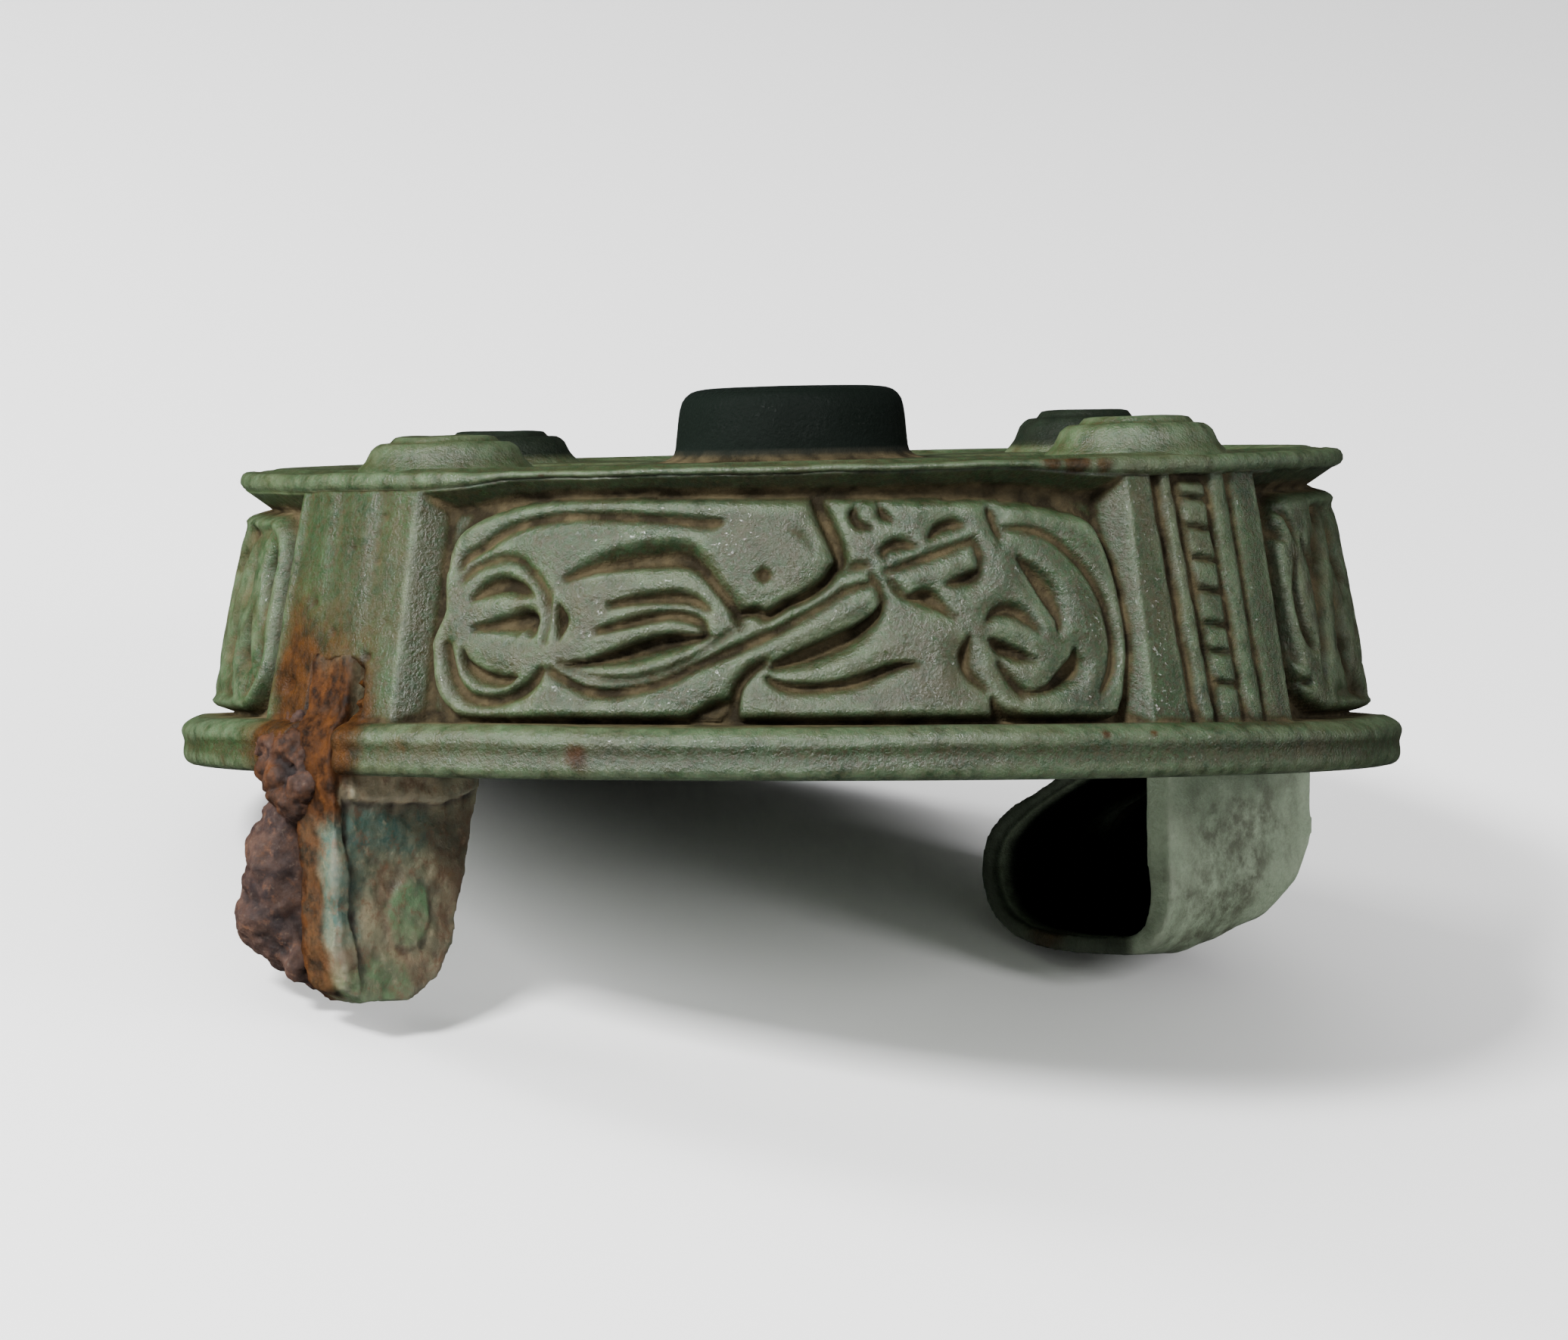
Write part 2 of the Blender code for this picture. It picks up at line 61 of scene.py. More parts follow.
# Drum
FOOT_RADIUS = 23.15
WALL_LEAN = 0.19
WALL_THICKNESS = 2.3
TOP_THICKNESS = 1.6
TOP_HEIGHT = 11.95
TOP_SLOPE_X = 0.023
TOP_SLOPE_Y = 0.036
RIM_HEIGHT = 1.92
LIP_REACH = 0.4
RIM_OUTLINE = (
    (0.1, 0), (0.45, 0.05), (0.66, 0.2), (0.74, 0.42), (0.73, 0.66), (0.7, 0.9), (0.76, 1.14), (0.8, 1.36),
    (0.7, 1.6), (0.42, 1.8), (0.12, RIM_HEIGHT))
LIP_OUTLINE = ((0.3, 0), (0.75, 0.12), (1, 0.35), (1, 0.6), (0.8, 0.85), (0.45, 0.97), (0, 1))

# Sectors of the wall
PILASTERS = (-48.2, 43.6, 131.8, 223.6)
PILASTER_HALF = 9.6
GROUND = 1.2
FIELD_DEPTH = 0.35
SIDE_BEVEL = 0.85
TOP_BEVEL = 0.74

# Grid of the wall: where each part of it starts and the width of its columns there
COLUMN_STEPS = ((-26.5, 0.16), (-15.6, 0.1), (13.6, 0.14), (25, 0.5))
PANEL_ROWS = 80

# Front panel: its opening, and the reach of its relief
FRONT_OPENING = (-15.25, 13.35)
FRONT_REACH = (-15.3, 13.4)

# Outline of the raised field of the front panel
FRONT_FIELD = (
    (-13.3, 7.5), (-13.35, 7.2), (-13.2, 6.2), (-13.2, 5.9), (-13.6, 5), (-13.6, 4.5), (-13.3, 3.2),
    (-12.6, 2.4), (-11.5, 2.08), (-7, 2.1), (-2.4, 2.1), (-1.4, 2.1), (2.5, 2.1), (6.5, 2.1), (7.4, 2.15),
    (11.3, 2.1), (12, 2.6), (12.3, 3.5), (12.5, 5), (12.3, 7), (11.9, 8.5), (11.4, 9.3), (10.4, 9.6),
    (9, 9.85), (7, 10), (1.3, 10.02), (0.5, 10.02), (-5, 10.05), (-9, 10), (-11, 9.7),
    (-12.6, 9.1), (-13.2, 8.4))

# Strokes are threes of hundredths of a millimetre: their depth and how far their left and right sides slope,
# and then u, z and half width of each place. This share of the half width is cut
STROKE_WIDTH = 0.8
FRONT_STROKES = (
    (30, 30, 30, -1271, 753, 8, -1260, 784, 11, -1187, 826, 12, -1103, 879, 12, -1018, 910, 12, -892, 932, 12,
    -755, 937, 12, -597, 932, 12, -440, 921, 12, -303, 908, 12, -260, 919, 6),
    (25, 30, 30, -1255, 710, 6, -1230, 742, 9, -1155, 774, 9, -1080, 786, 9, -1020, 774, 9, -966, 730, 9,
    -924, 690, 8, -897, 647, 8, -890, 590, 7, -895, 490, 5),
    (45, 30, 30, -1297, 468, 10, -1282, 395, 15, -1250, 332, 15, -1187, 284, 15, -1092, 274, 15,
    -997, 300, 14, -934, 342, 12, -903, 384, 8),
    (55, 15, 15, -1229, 458, 5, -1208, 405, 20, -1145, 363, 27, -1060, 347, 22, -997, 363, 5),
    (65, 30, 30, -1190, 535, 6, -1100, 545, 20, -1020, 555, 35, -970, 560, 40, -955, 530, 20),
    (50, 30, 30, -1210, 640, 5, -1150, 675, 22, -1080, 690, 27, -1010, 675, 22, -960, 655, 5),
    (50, 10, 25, -855, 626, 4, -835, 563, 22, -842, 500, 4),
    (70, 85, 10, -820, 710, 4, -740, 740, 13, -630, 760, 22, -500, 775, 30, -400, 775, 30, -330, 740, 18,
    -270, 675, 12, -210, 600, 14, -195, 550, 10),
    (50, 30, 20, -660, 616, 6, -560, 635, 11, -440, 642, 15, -360, 635, 13, -295, 600, 5),
    (50, 30, 20, -700, 525, 5, -600, 550, 11, -490, 575, 13, -410, 580, 13, -330, 555, 11, -305, 520, 5),
    (80, 10, 50, -810, 410, 5, -720, 420, 13, -600, 450, 27, -480, 485, 32, -380, 500, 22, -300, 510, 8),
    (40, 30, 30, -870, 384, 8, -810, 350, 11, -735, 316, 13, -650, 305, 14, -545, 320, 13, -440, 350, 13,
    -330, 405, 13, -176, 470, 13, -70, 520, 13, 0, 558, 13, 105, 616, 11, 190, 670, 10, 290, 695, 6),
    (28, 30, 30, -834, 411, 4, -736, 367, 7, -583, 354, 8, -449, 381, 8, -338, 436, 8, -212, 527, 6),
    (80, 30, 30, 90, 990, 20, 130, 900, 20, 160, 830, 20, 175, 770, 18, 150, 740, 16, 120, 700, 15,
    50, 650, 14, -20, 620, 13, -90, 580, 13, -130, 595, 12, -197, 585, 12),
    (35, 30, 30, 180, 750, 10, 230, 758, 10, 280, 760, 4),
    (85, 45, 10, 320, 630, 5, 290, 575, 17, 210, 515, 30, 100, 465, 32, 20, 435, 27, -60, 410, 15),
    (50, 15, 30, -85, 360, 8, -40, 335, 13, 30, 325, 15, 130, 330, 15, 230, 350, 17, 320, 385, 15,
    400, 410, 8, 440, 405, 3),
    (80, 60, 12, -210, 215, 30, -195, 290, 17, -175, 340, 13, -135, 385, 11, -95, 410, 8),
    (60, 30, 30, -350, 220, 10, -260, 250, 25, -210, 270, 20),
    (35, 30, 30, -120, 726, 10, -103, 726, 20, -85, 726, 10),
    (15, 30, 30, -10, 890, 4, 50, 860, 12, 75, 810, 4),
    (40, 30, 30, 245, 985, 5, 225, 945, 12, 240, 910, 11, 285, 893, 5),
    (40, 30, 30, 320, 986, 6, 335, 945, 11, 365, 925, 5),
    (40, 30, 30, 505, 860, 5, 540, 890, 10, 590, 905, 10, 635, 905, 4),
    (40, 30, 30, 340, 785, 4, 330, 810, 7, 365, 830, 10, 410, 833, 9, 455, 825, 3),
    (28, 30, 30, 335, 735, 5, 420, 765, 7, 525, 800, 7, 610, 830, 7, 670, 850, 5),
    (28, 30, 30, 670, 850, 5, 690, 795, 6, 685, 750, 5),
    (45, 30, 30, 560, 695, 4, 610, 705, 11, 660, 720, 15, 695, 745, 5),
    (55, 12, 30, 405, 645, 8, 460, 650, 27, 500, 640, 32, 550, 600, 13, 585, 575, 3),
    (30, 30, 30, 350, 705, 5, 375, 675, 6, 400, 650, 5),
    (30, 30, 30, 280, 730, 5, 310, 680, 7, 325, 630, 6),
    (40, 30, 30, 745, 960, 8, 760, 900, 7, 775, 850, 3),
    (35, 30, 30, 790, 895, 5, 895, 890, 7, 980, 860, 8, 1060, 795, 9, 1125, 720, 10, 1170, 635, 11,
    1190, 540, 11, 1195, 470, 12, 1180, 385, 12, 1130, 310, 5),
    (55, 40, 10, 835, 785, 6, 895, 720, 27, 945, 650, 35, 975, 580, 20, 970, 525, 3),
    (40, 30, 30, 700, 565, 4, 740, 595, 11, 790, 600, 13, 845, 575, 11, 900, 525, 3),
    (50, 30, 30, 630, 505, 3, 612, 440, 15, 625, 375, 11, 685, 315, 3),
    (55, 10, 30, 705, 500, 5, 750, 470, 24, 810, 445, 22, 880, 425, 4),
    (35, 30, 30, 740, 410, 6, 785, 340, 7, 820, 305, 6),
    (60, 15, 30, 820, 305, 5, 910, 320, 12, 980, 360, 32, 1025, 400, 37, 1030, 460, 5),
    (50, 30, 30, 740, 210, 30, 715, 250, 16, 700, 290, 3),
)

# Grooves of the right pilaster: depth, half width, u at its top and u at its foot
PILASTER_TOP = 10.9
PILASTER_FOOT = 2.2
PILASTER_GROOVES = (
    (0.40, 0.16, 14.85, 15.4), (0.40, 0.13, 15.85, 16.5), (0.38, 0.13, 17.65, 17.95),
    (0.30, 0.11, 18.95, 19.15))
LADDER_RUNGS = (10.15, 9.05, 7.9, 6.75, 5.5, 4.5, 3.35)

# Marks of the right panel next to its pilaster
RIGHT_STROKES = (
    (60, 30, 30, 2130, 810, 10, 2180, 860, 35, 2250, 890, 35, 2300, 870, 10),
    (40, 30, 30, 2090, 830, 10, 2140, 940, 12, 2230, 1000, 14, 2330, 970, 12, 2400, 880, 10),
    (50, 30, 30, 2130, 690, 10, 2140, 560, 20, 2180, 420, 18, 2240, 340, 12, 2320, 330, 10),
    (50, 30, 30, 2230, 670, 10, 2230, 540, 20, 2260, 420, 15),
    (60, 30, 30, 2360, 780, 10, 2330, 660, 30, 2360, 520, 30, 2430, 460, 10),
    (50, 30, 30, 2460, 860, 10, 2520, 740, 20, 2520, 560, 20, 2470, 360, 15),
)

# Panels after the front one: waves of the plait, strokes and half width of its bands
OTHER_PANELS = ((2, RIGHT_STROKES, 0.13), (3, (), 0.13), (3, (), 0.1))

# Pits of the worn pilaster: u, z, size and depth
WORN_PITS = (
    (-17, 9.4, 0.22, 0.3), (-17.2, 8.8, 0.18, 0.25), (-17, 7.8, 0.2, 0.25), (-18.5, 8.3, 0.2, 0.2),
    (-17.3, 3.7, 0.32, 0.7), (-17.25, 3, 0.34, 0.9), (-17.2, 2.4, 0.3, 0.7), (-16.9, 4.3, 0.2, 0.35),
    (-20.5, 6.3, 0.3, 0.2), (-19, 5.2, 0.25, 0.2), (-16.2, 5.6, 0.2, 0.15), (-21.3, 3.2, 0.35, 0.35))

# Flakes of rust on rim and lip, and painted shadow beside the tang: u, z, how far out, size and strength
FLAKES = (
    (-7.3, 0.85, 0.8, 0.75, 0.9), (11, 11.3, 0.3, 0.7, 0.85), (10, 11.4, 0.3, 0.5, 0.8),
    (12.2, 11.2, 0.3, 0.4, 0.7), (-9.6, 10.75, 0.2, 0.25, 0.8), (7.5, 11, 0.2, 0.22, 0.8),
    (10.9, 1.6, 0.6, 0.25, 0.9), (12.8, 1.6, 0.6, 0.22, 0.9), (8.3, 0.9, 0.8, 0.2, 0.7),
    (6.4, 0.7, 0.8, 0.25, 0.7), (-11, 1, 0.8, 0.3, 0.7), (-14, 1.2, 0.8, 0.4, 0.5))
TANG_SHADE_SPOTS = [(-17.3, height, -0.1, 0.55, 0.95) for height in (2.4, 2.9, 3.4, 3.9)]

# How deep the balls of the rust crust sit in the rim
CRUST_SUNK = 0.3

# Tang slot
SLOT_AT = -18.76
SLOT_LEFT = -1.1
SLOT_RIGHT = 1.25
SLOT_TOP = 4.2
SLOT_RADIUS = 22.05

# Hinge lug: the ends of its run from the drum's axis, its drop below the drum and the place of its axle
LUG_OUTER = 23.5
LUG_ROOT = 16.5
LUG_DROP = 8.4
AXLE_RUN = 20
AXLE_HEIGHT = -5.2

# Pin catch: the way it points, its far end, its length, width and drop, and half its wall
CATCH_TURN = 48
CATCH_END = np.array([21.45, 9.2])
CATCH_LENGTH = 9.5
CATCH_WIDTH = 9.8
CATCH_DROP = 7.9
CATCH_HALF_WALL = 0.62

# Bosses: angle, height above the top and radius. The middle one's outline is reach and height
BOSSES = ((-48.2, 1.3, 2.85), (47.6, 1.45, 2.95), (135.3, 1.7, 2.8), (224.3, 1.35, 2.8))
BOSS_PLACE = 17.4
MIDDLE_RADIUS = 4.53
MIDDLE_OUTLINE = (
    (0.9, -0.03), (0.45, 0.06), (0.12, 0.3), (0.03, 0.8), (-0.06, 1.7), (-0.2, 2.35), (-0.55, 2.72),
    (-1.1, 2.85), (-2, 2.9), (-3.2, 2.92), (-4, 2.93))

# Camera, in pixels of the photograph and millimetres
SENSOR = 36
PHOTO_WIDTH = 2072
FOCAL_LENGTH = 7227
MIDDLE_ROW = 885.5
LEVEL_ROW = 800
CAMERA_PLACE = (-0.3, -216, 6.2)

# Brightness of the surroundings, and of what the surfaces mirror of them
SURROUNDINGS = (0.4, 0.06)

# Lights: name, place, height of the place that it points to, size, power and whether surfaces mirror it
LIGHTS = (("left_soft", (-0.34, 0.04, 0.12), 0.004, (0.1, 0.12), 5.4, False),
          ("left_gloss", (-0.32, -0.12, 0.12), 0.004, (0.05, 0.12), 0.5, True),
          ("right_soft", (0.34, -0.12, 0.1), 0.004, (0.08, 0.12), 0.8, True),
          ("front_soft", (-0.17, -0.36, 0.24), 0.004, (0.09, 0.07), 6.2, True),
          ("top_soft", (0, -0.1, 0.32), 0.002, (0.3, 0.1), 0.3, True))

# Ways of the lug, outward and to its near side
PIN_ANGLE = math.radians(-48.2)
OUTWARD = np.array([math.sin(PIN_ANGLE), -math.cos(PIN_ANGLE)])
NEAR = np.array([math.cos(PIN_ANGLE), math.sin(PIN_ANGLE)])


def smooth(low, high, value):
    """Return 0 below low, 1 above high, and a soft step between."""
    t = np.clip((value - low) / (high - low), 0, 1)
    return t * t * (3 - 2 * t)


def rough(points, size, seed):
    """Return value noise from -1 to 1 at the points, with features of about the given size."""
    places = np.asarray(points, dtype=np.float64) / size + 97.3 * seed
    cell = np.floor(places).astype(np.int64)
    part = places - cell
    part = part * part * (3 - 2 * part)
    total = 0
    for corner in range(8):
        step = np.array([corner & 1, (corner >> 1) & 1, (corner >> 2) & 1])
        key = cell + step
        code = key[..., 0] * 374761393 + key[..., 1] * 668265263 + key[..., 2] * 2147483647 + seed * 144665
        code = (code ^ (code >> 13)) * 1274126177
        value = ((code ^ (code >> 16)) & 0xFFFF) / 32767.5 - 1
        weight = np.prod(np.where(step == 1, part, 1 - part), axis=-1)
        total = total + value * weight
    return total


def layered(points, size, seed, layers=4):
    """Return noise of several sizes, each half as large and half as strong as the one before."""
    return sum(rough(points, size / 2**k, seed + k) / 2**k for k in range(layers)) / 1.6


def curve_through(places, step=0.05):
    """Return points of a smooth curve through places of any number of values."""
    places = np.array(places, dtype=float)
    ends = np.vstack([places[:1], places, places[-1:]])
    found = []
    for index in range(1, len(ends) - 2):
        before, start, end, after = ends[index - 1:index + 3]
        count = max(2, int(np.linalg.norm((end - start)[:2]) / step))
        t = np.linspace(0, 1, count, endpoint=False)[:, None]
        found.append(0.5 * (2 * start + (end - before) * t + (2 * before - 5 * start + 4 * end - after) * t**2
                            + (3 * start - before - 3 * end + after) * t**3))
    found.append(places[-1:])
    return np.vstack(found)


def wall_radius(z):
    return FOOT_RADIUS - (z - RIM_HEIGHT) * WALL_LEAN


def top_height(x, y):
    return TOP_HEIGHT + TOP_SLOPE_X * x + TOP_SLOPE_Y * y


def strongest(*marks):
    """Return the strongest of several marks at each point."""
    return np.maximum.reduce(marks)


def cut_strokes(strokes, u, z):
    """Return the depth that the strokes cut, and how much their edges are rounded down."""
    depth = np.zeros_like(u)
    shoulder = np.zeros_like(u)
    for stroke in strokes:
        (cut, left_slope, right_slope), *places = np.reshape(stroke, (-1, 3)) / 100
        line = curve_through(places)
        near = (u > line[:, 0].min() - 1.3) & (u < line[:, 0].max() + 1.3)
        near &= (z > line[:, 1].min() - 1.3) & (z < line[:, 1].max() + 1.3)
        if not near.any():
            continue
        here_u, here_z = u[near], z[near]
        widest = line[:, 2].max()
        ahead = np.gradient(line[:, :2], axis=0)
        nearest = np.full(here_u.shape, 9)
        side = np.zeros(here_u.shape)
        half = np.zeros(here_u.shape)
        for (a, b, reach), (du, dz) in zip(line, ahead):
            away = np.hypot(here_u - a, here_z - b)
            closer = away < nearest
            nearest = np.where(closer, away, nearest)
            side = np.where(closer, du * (here_z - b) - dz * (here_u - a), side)
            half = np.where(closer, reach, half)
        half = STROKE_WIDTH * half
        share = np.minimum(1, 0.35 + 0.65 * half / (STROKE_WIDTH * widest))
        slope = np.where(side > 0, left_slope, right_slope) * share
        beyond = np.clip((nearest - 0.6 * half) / (0.4 * half + slope), 0, 1)
        groove = cut * share * (1 - beyond) ** 1.6
        depth[near] = np.maximum(depth[near], groove)
        shoulder[near] = np.maximum(shoulder[near], cut * share * np.exp(-((nearest / 0.7) ** 2)))
    return depth, shoulder


def inside_of(outline, u, z):
    """Return the distance to a closed outline, positive inside it."""
    loop = curve_through([*outline, outline[0]], 0.08)
    away = np.full(u.shape, 99)
    for a, b in loop[:, :2]:
        away = np.minimum(away, (u - a) ** 2 + (z - b) ** 2)
    inside = np.zeros(u.shape, dtype=bool)
    for (a0, b0), (a1, b1) in zip(loop[:-1, :2], loop[1:, :2]):
        if b0 == b1:
            continue
        crosses = (z > min(b0, b1)) & (z <= max(b0, b1))
        inside ^= crosses & (u < a0 + (z - b0) * (a1 - a0) / (b1 - b0))
    return np.where(inside, np.sqrt(away), -np.sqrt(away))


def plait(along, up, waves, half_width):
    """Return 0 on the crest of a plait of bands and 1 in the ground between them, for 0..1 along and up."""
    height = np.zeros_like(along)
    for strand in range(3):
        phase = 2 * math.pi * (along * waves + strand / 3)
        line = 0.5 + 0.4 * np.sin(phase)
        slope = np.sqrt(1 + (0.4 * 2 * math.pi * waves * np.cos(phase) * 0.35) ** 2)
        away = np.abs(up - line) / half_width / slope
        over = 0.78 + 0.22 * np.sin(2 * phase + strand)
        crest = over * np.sqrt(np.clip(1 - away**2, 0, 1))
        height = np.maximum(height, crest)
    return 1 - height


def rounded_field(u, z, left, right, low, high, corner):
    """Return the distance inside a field with round corners."""
    x = np.abs(u - (left + right) / 2) - (right - left) / 2 + corner
    y = np.abs(z - (low + high) / 2) - (high - low) / 2 + corner
    return corner - np.hypot(np.maximum(x, 0), np.maximum(y, 0)) - np.minimum(np.maximum(x, y), 0)


def opening(u, z, left, right, roof):
    """Return 0 at the edge of a panel's opening and 1 at the foot of its bevels."""
    side = np.minimum(u - left, right - u) / SIDE_BEVEL
    head = (roof - z) / TOP_BEVEL
    return np.clip(np.minimum(side, head), 0, 1)


def raised(inside, shoulder):
    """Return how far a field stands up from the ground, rounded over its edge."""
    t = np.clip(inside / shoulder, 0, 1)
    return np.sqrt(1 - (1 - t) ** 2)


def seen_through(u, depth):
    """Return where a place that lies deeper than the wall's face was measured on that face."""
    share = (ROUND - depth) / ROUND
    return ROUND * np.arcsin(share * np.sin(u / ROUND))


def front_panel(u, z, roof):
    field = raised(inside_of(FRONT_FIELD, seen_through(u, 0.75), z), 0.45)
    cut, shoulder = cut_strokes(FRONT_STROKES, seen_through(u, 0.45), z)
    dome = 0.12 * smooth(3.2, 0, np.minimum(z - 2.1, 10 - z))
    level = FIELD_DEPTH + dome + 0.42 * shoulder + 0.9 * cut
    depth = GROUND - np.clip(GROUND + 0.15 - level, 0, 2) * field
    bevel = GROUND * opening(u, z, *FRONT_OPENING, roof)
    return np.minimum(np.minimum(depth, GROUND + 0.1), bevel)


def side_panel(u, z, roof, left, right, waves, strokes, half_width):
    """Return the depth of a side or back panel, with a plait in its field."""
    inside = rounded_field(u, z, left + 1.5, right - 1.5, 2.15, roof - 0.85, 2.2)
    field = raised(inside, 0.45)
    along = (u - left - 2.2) / (right - left - 4.4)
    up = (z - 2.5) / (roof - 3.6)
    woven = 0.75 * smooth(0.12, 0.9, plait(along, up, waves, half_width)) * smooth(0, 0.5, inside - 0.35)
    if strokes:
        cut, shoulder = cut_strokes(strokes, u, z)
        blend = smooth(25.2, 26.6, u)
        woven = woven * blend + (cut + 0.16 * shoulder) * (1 - blend)
    level = FIELD_DEPTH + woven
    depth = GROUND - np.clip(GROUND + 0.1 - level, 0, 2) * field
    return np.minimum(np.minimum(depth, GROUND + 0.05), GROUND * opening(u, z, left, right, roof))


def ribbed_pilaster(u, z, shift):
    """Return the depth of a pilaster with grooves and a ladder between them."""
    u = u - shift
    fall = np.clip((PILASTER_TOP - z) / (PILASTER_TOP - PILASTER_FOOT), 0, 1)
    depth = np.zeros_like(u)
    for cut, half, top_u, foot_u in PILASTER_GROOVES:
        away = np.abs(u - (top_u + (foot_u - top_u) * fall))
        depth = np.maximum(depth, cut * np.clip(1.25 - (away / (1.6 * half)) ** 2, 0, 1))
        depth = np.maximum(depth, 0.12 * np.exp(-((away / 0.4) ** 2)))
    left = PILASTER_GROOVES[1][2] + (PILASTER_GROOVES[1][3] - PILASTER_GROOVES[1][2]) * fall
    right = PILASTER_GROOVES[2][2] + (PILASTER_GROOVES[2][3] - PILASTER_GROOVES[2][2]) * fall
    inside = smooth(0.1, 0.25, u - left) * smooth(0.1, 0.25, right - u)
    for rung in LADDER_RUNGS:
        slant = rung - 0.12 * (u - (left + right) / 2)
        depth = np.maximum(depth, inside * 0.3 * np.exp(-(((z - slant) / 0.11) ** 2)))
    ends = smooth(PILASTER_TOP - 0.35, PILASTER_TOP - 0.1, z) * inside
    return np.maximum(depth, 0.3 * ends)


def worn_pilaster(u, z):
    """Return the depth of the near left pilaster, worn nearly smooth, with a few pits."""
    ribs = 0.05 * (np.sin((u + 22.4) * 2.6) + np.sin((u + 22.4) * 5.1) * 0.5)
    depth = 0.06 + ribs * smooth(2.5, 9.5, z)
    for a, b, size, cut in WORN_PITS:
        depth = np.maximum(depth, cut * np.exp(-(((u - a) ** 2 + (z - b) ** 2) / size**2)))
    return depth


def turned(u, low, high):
    """Return u moved by whole turns to lie within half a turn of low to high."""
    u = np.where(u < low - 0.5 * TURN, u + TURN, u)
    return np.where(u > high + 0.5 * TURN, u - TURN, u)


def wall_depth(u, z, roof):
    """Return the depth of the wall's relief. All three are arrays, and u runs from -26.5 once round."""
    depth = np.zeros_like(u)
    here = (u > FRONT_REACH[0]) & (u < FRONT_REACH[1])
    depth[here] = front_panel(u[here], z[here], roof[here])
    ends = (*PILASTERS, PILASTERS[0] + 360)
    for index, panel in enumerate(OTHER_PANELS, 1):
        left = math.radians(ends[index] + PILASTER_HALF) * ROUND
        right = math.radians(ends[index + 1] - PILASTER_HALF) * ROUND
        shifted = turned(u, left, right)
        here = (shifted > left - 0.4) & (shifted < right + 0.4)
        depth[here] = side_panel(shifted[here], z[here], roof[here], left, right, *panel)
    for index, middle in enumerate(PILASTERS):
        centre = math.radians(middle) * ROUND
        shifted = turned(u, centre, centre)
        here = (np.abs(shifted - centre) < (3.6 if index else 3.5)) & (depth == 0)
        if index == 0:
            depth[here] = worn_pilaster(u[here], z[here])
        else:
            depth[here] = ribbed_pilaster(shifted[here], z[here], centre - math.radians(PILASTERS[1]) * ROUND)
    return depth


def columns():
    """Return the places of the grid's columns round the wall, fine where the photograph looks."""
    starts, steps = zip(*COLUMN_STEPS)
    ends = (*starts[1:], starts[0] + TURN)
    counts = [round((end - start) / step) for start, end, step in zip(starts, ends, steps)]
    counts[-1] += -sum(counts) % 16
    return np.concatenate([np.linspace(*part, endpoint=False) for part in zip(starts, ends, counts)])


def lip_thickness(u):
    """Return the lip's thickness, thin over the front panel and thicker over the pilasters beside it."""
    return 0.28 + 0.42 * smooth(9, 14.5, np.abs(u + 1))


def ring_points(radius, angle, height):
    """Return points of one ring, from its radii, angles and heights."""
    full = np.broadcast_to(radius, angle.shape)
    tall = np.broadcast_to(height, angle.shape)
    return np.column_stack([full * np.sin(angle), -full * np.cos(angle), tall])


def drum_rings():
    """Return the rings of points of the drum, from inside the rim, up the outside and in to the middle."""
    u = columns()
    angle = u / ROUND
    east, north = np.sin(angle), -np.cos(angle)
    edge = wall_radius(TOP_HEIGHT)
    rim_top = top_height(edge * east, edge * north)
    flat = np.column_stack([east * 20, north * 20, 0 * u])
    rim_top = rim_top + 0.05 * rough(flat, 3, 5) + 0.03 * rough(flat, 1, 6)
    rings = []
    for reach, z in curve_through(RIM_OUTLINE, 0.17):
        here = np.column_stack([east * 24, north * 24, z + 0 * u])
        wave = 0.07 * layered(here, 4, 11) + 0.03 * layered(here, 0.9, 12)
        height = z + 0.05 * rough(flat, 5, 13) * z
        rings.append(ring_points(FOOT_RADIUS + reach + wave * min(1, 2 * reach), angle, height))
    lip = lip_thickness(u)
    roof = rim_top - lip
    shares = np.linspace(0, 1, PANEL_ROWS)
    z = RIM_HEIGHT + 0.04 + shares[:, None] * (roof - RIM_HEIGHT - 0.04)[None, :]
    across = np.broadcast_to(u, z.shape)
    depth = wall_depth(across, z, np.broadcast_to(roof, z.shape))
    radius = wall_radius(z) - depth
    slot = (across > SLOT_AT + SLOT_LEFT) & (across < SLOT_AT + SLOT_RIGHT) & (z < SLOT_TOP)
    radius = np.where(slot, np.minimum(radius, SLOT_RADIUS), radius)
    solid_places = np.stack([east * 22 + 0 * z, north * 22 + 0 * z, z], axis=-1)
    radius = radius + 0.035 * layered(solid_places, 1.6, 21) + 0.012 * layered(solid_places, 0.35, 22)
    for row in range(PANEL_ROWS):
        rings.append(ring_points(radius[row], angle, z[row]))
    for reach, share in LIP_OUTLINE:
        here = np.column_stack([east * 22, north * 22, share + 0 * u])
        wave = 0.08 * layered(here, 2.5, 31)
        rings.append(ring_points(edge + reach * LIP_REACH + wave * reach, angle, roof + share * lip))
    slot_ring = (u > SLOT_AT + SLOT_LEFT) & (u < SLOT_AT + SLOT_RIGHT)
    for ring in rings[:len(rings) - PANEL_ROWS - len(LIP_OUTLINE)]:
        reach = np.hypot(ring[:, 0], ring[:, 1])
        squeeze = np.where(slot_ring, np.minimum(1, SLOT_RADIUS / reach), 1)
        ring[:, :2] *= squeeze[:, None]
    return rings, angle


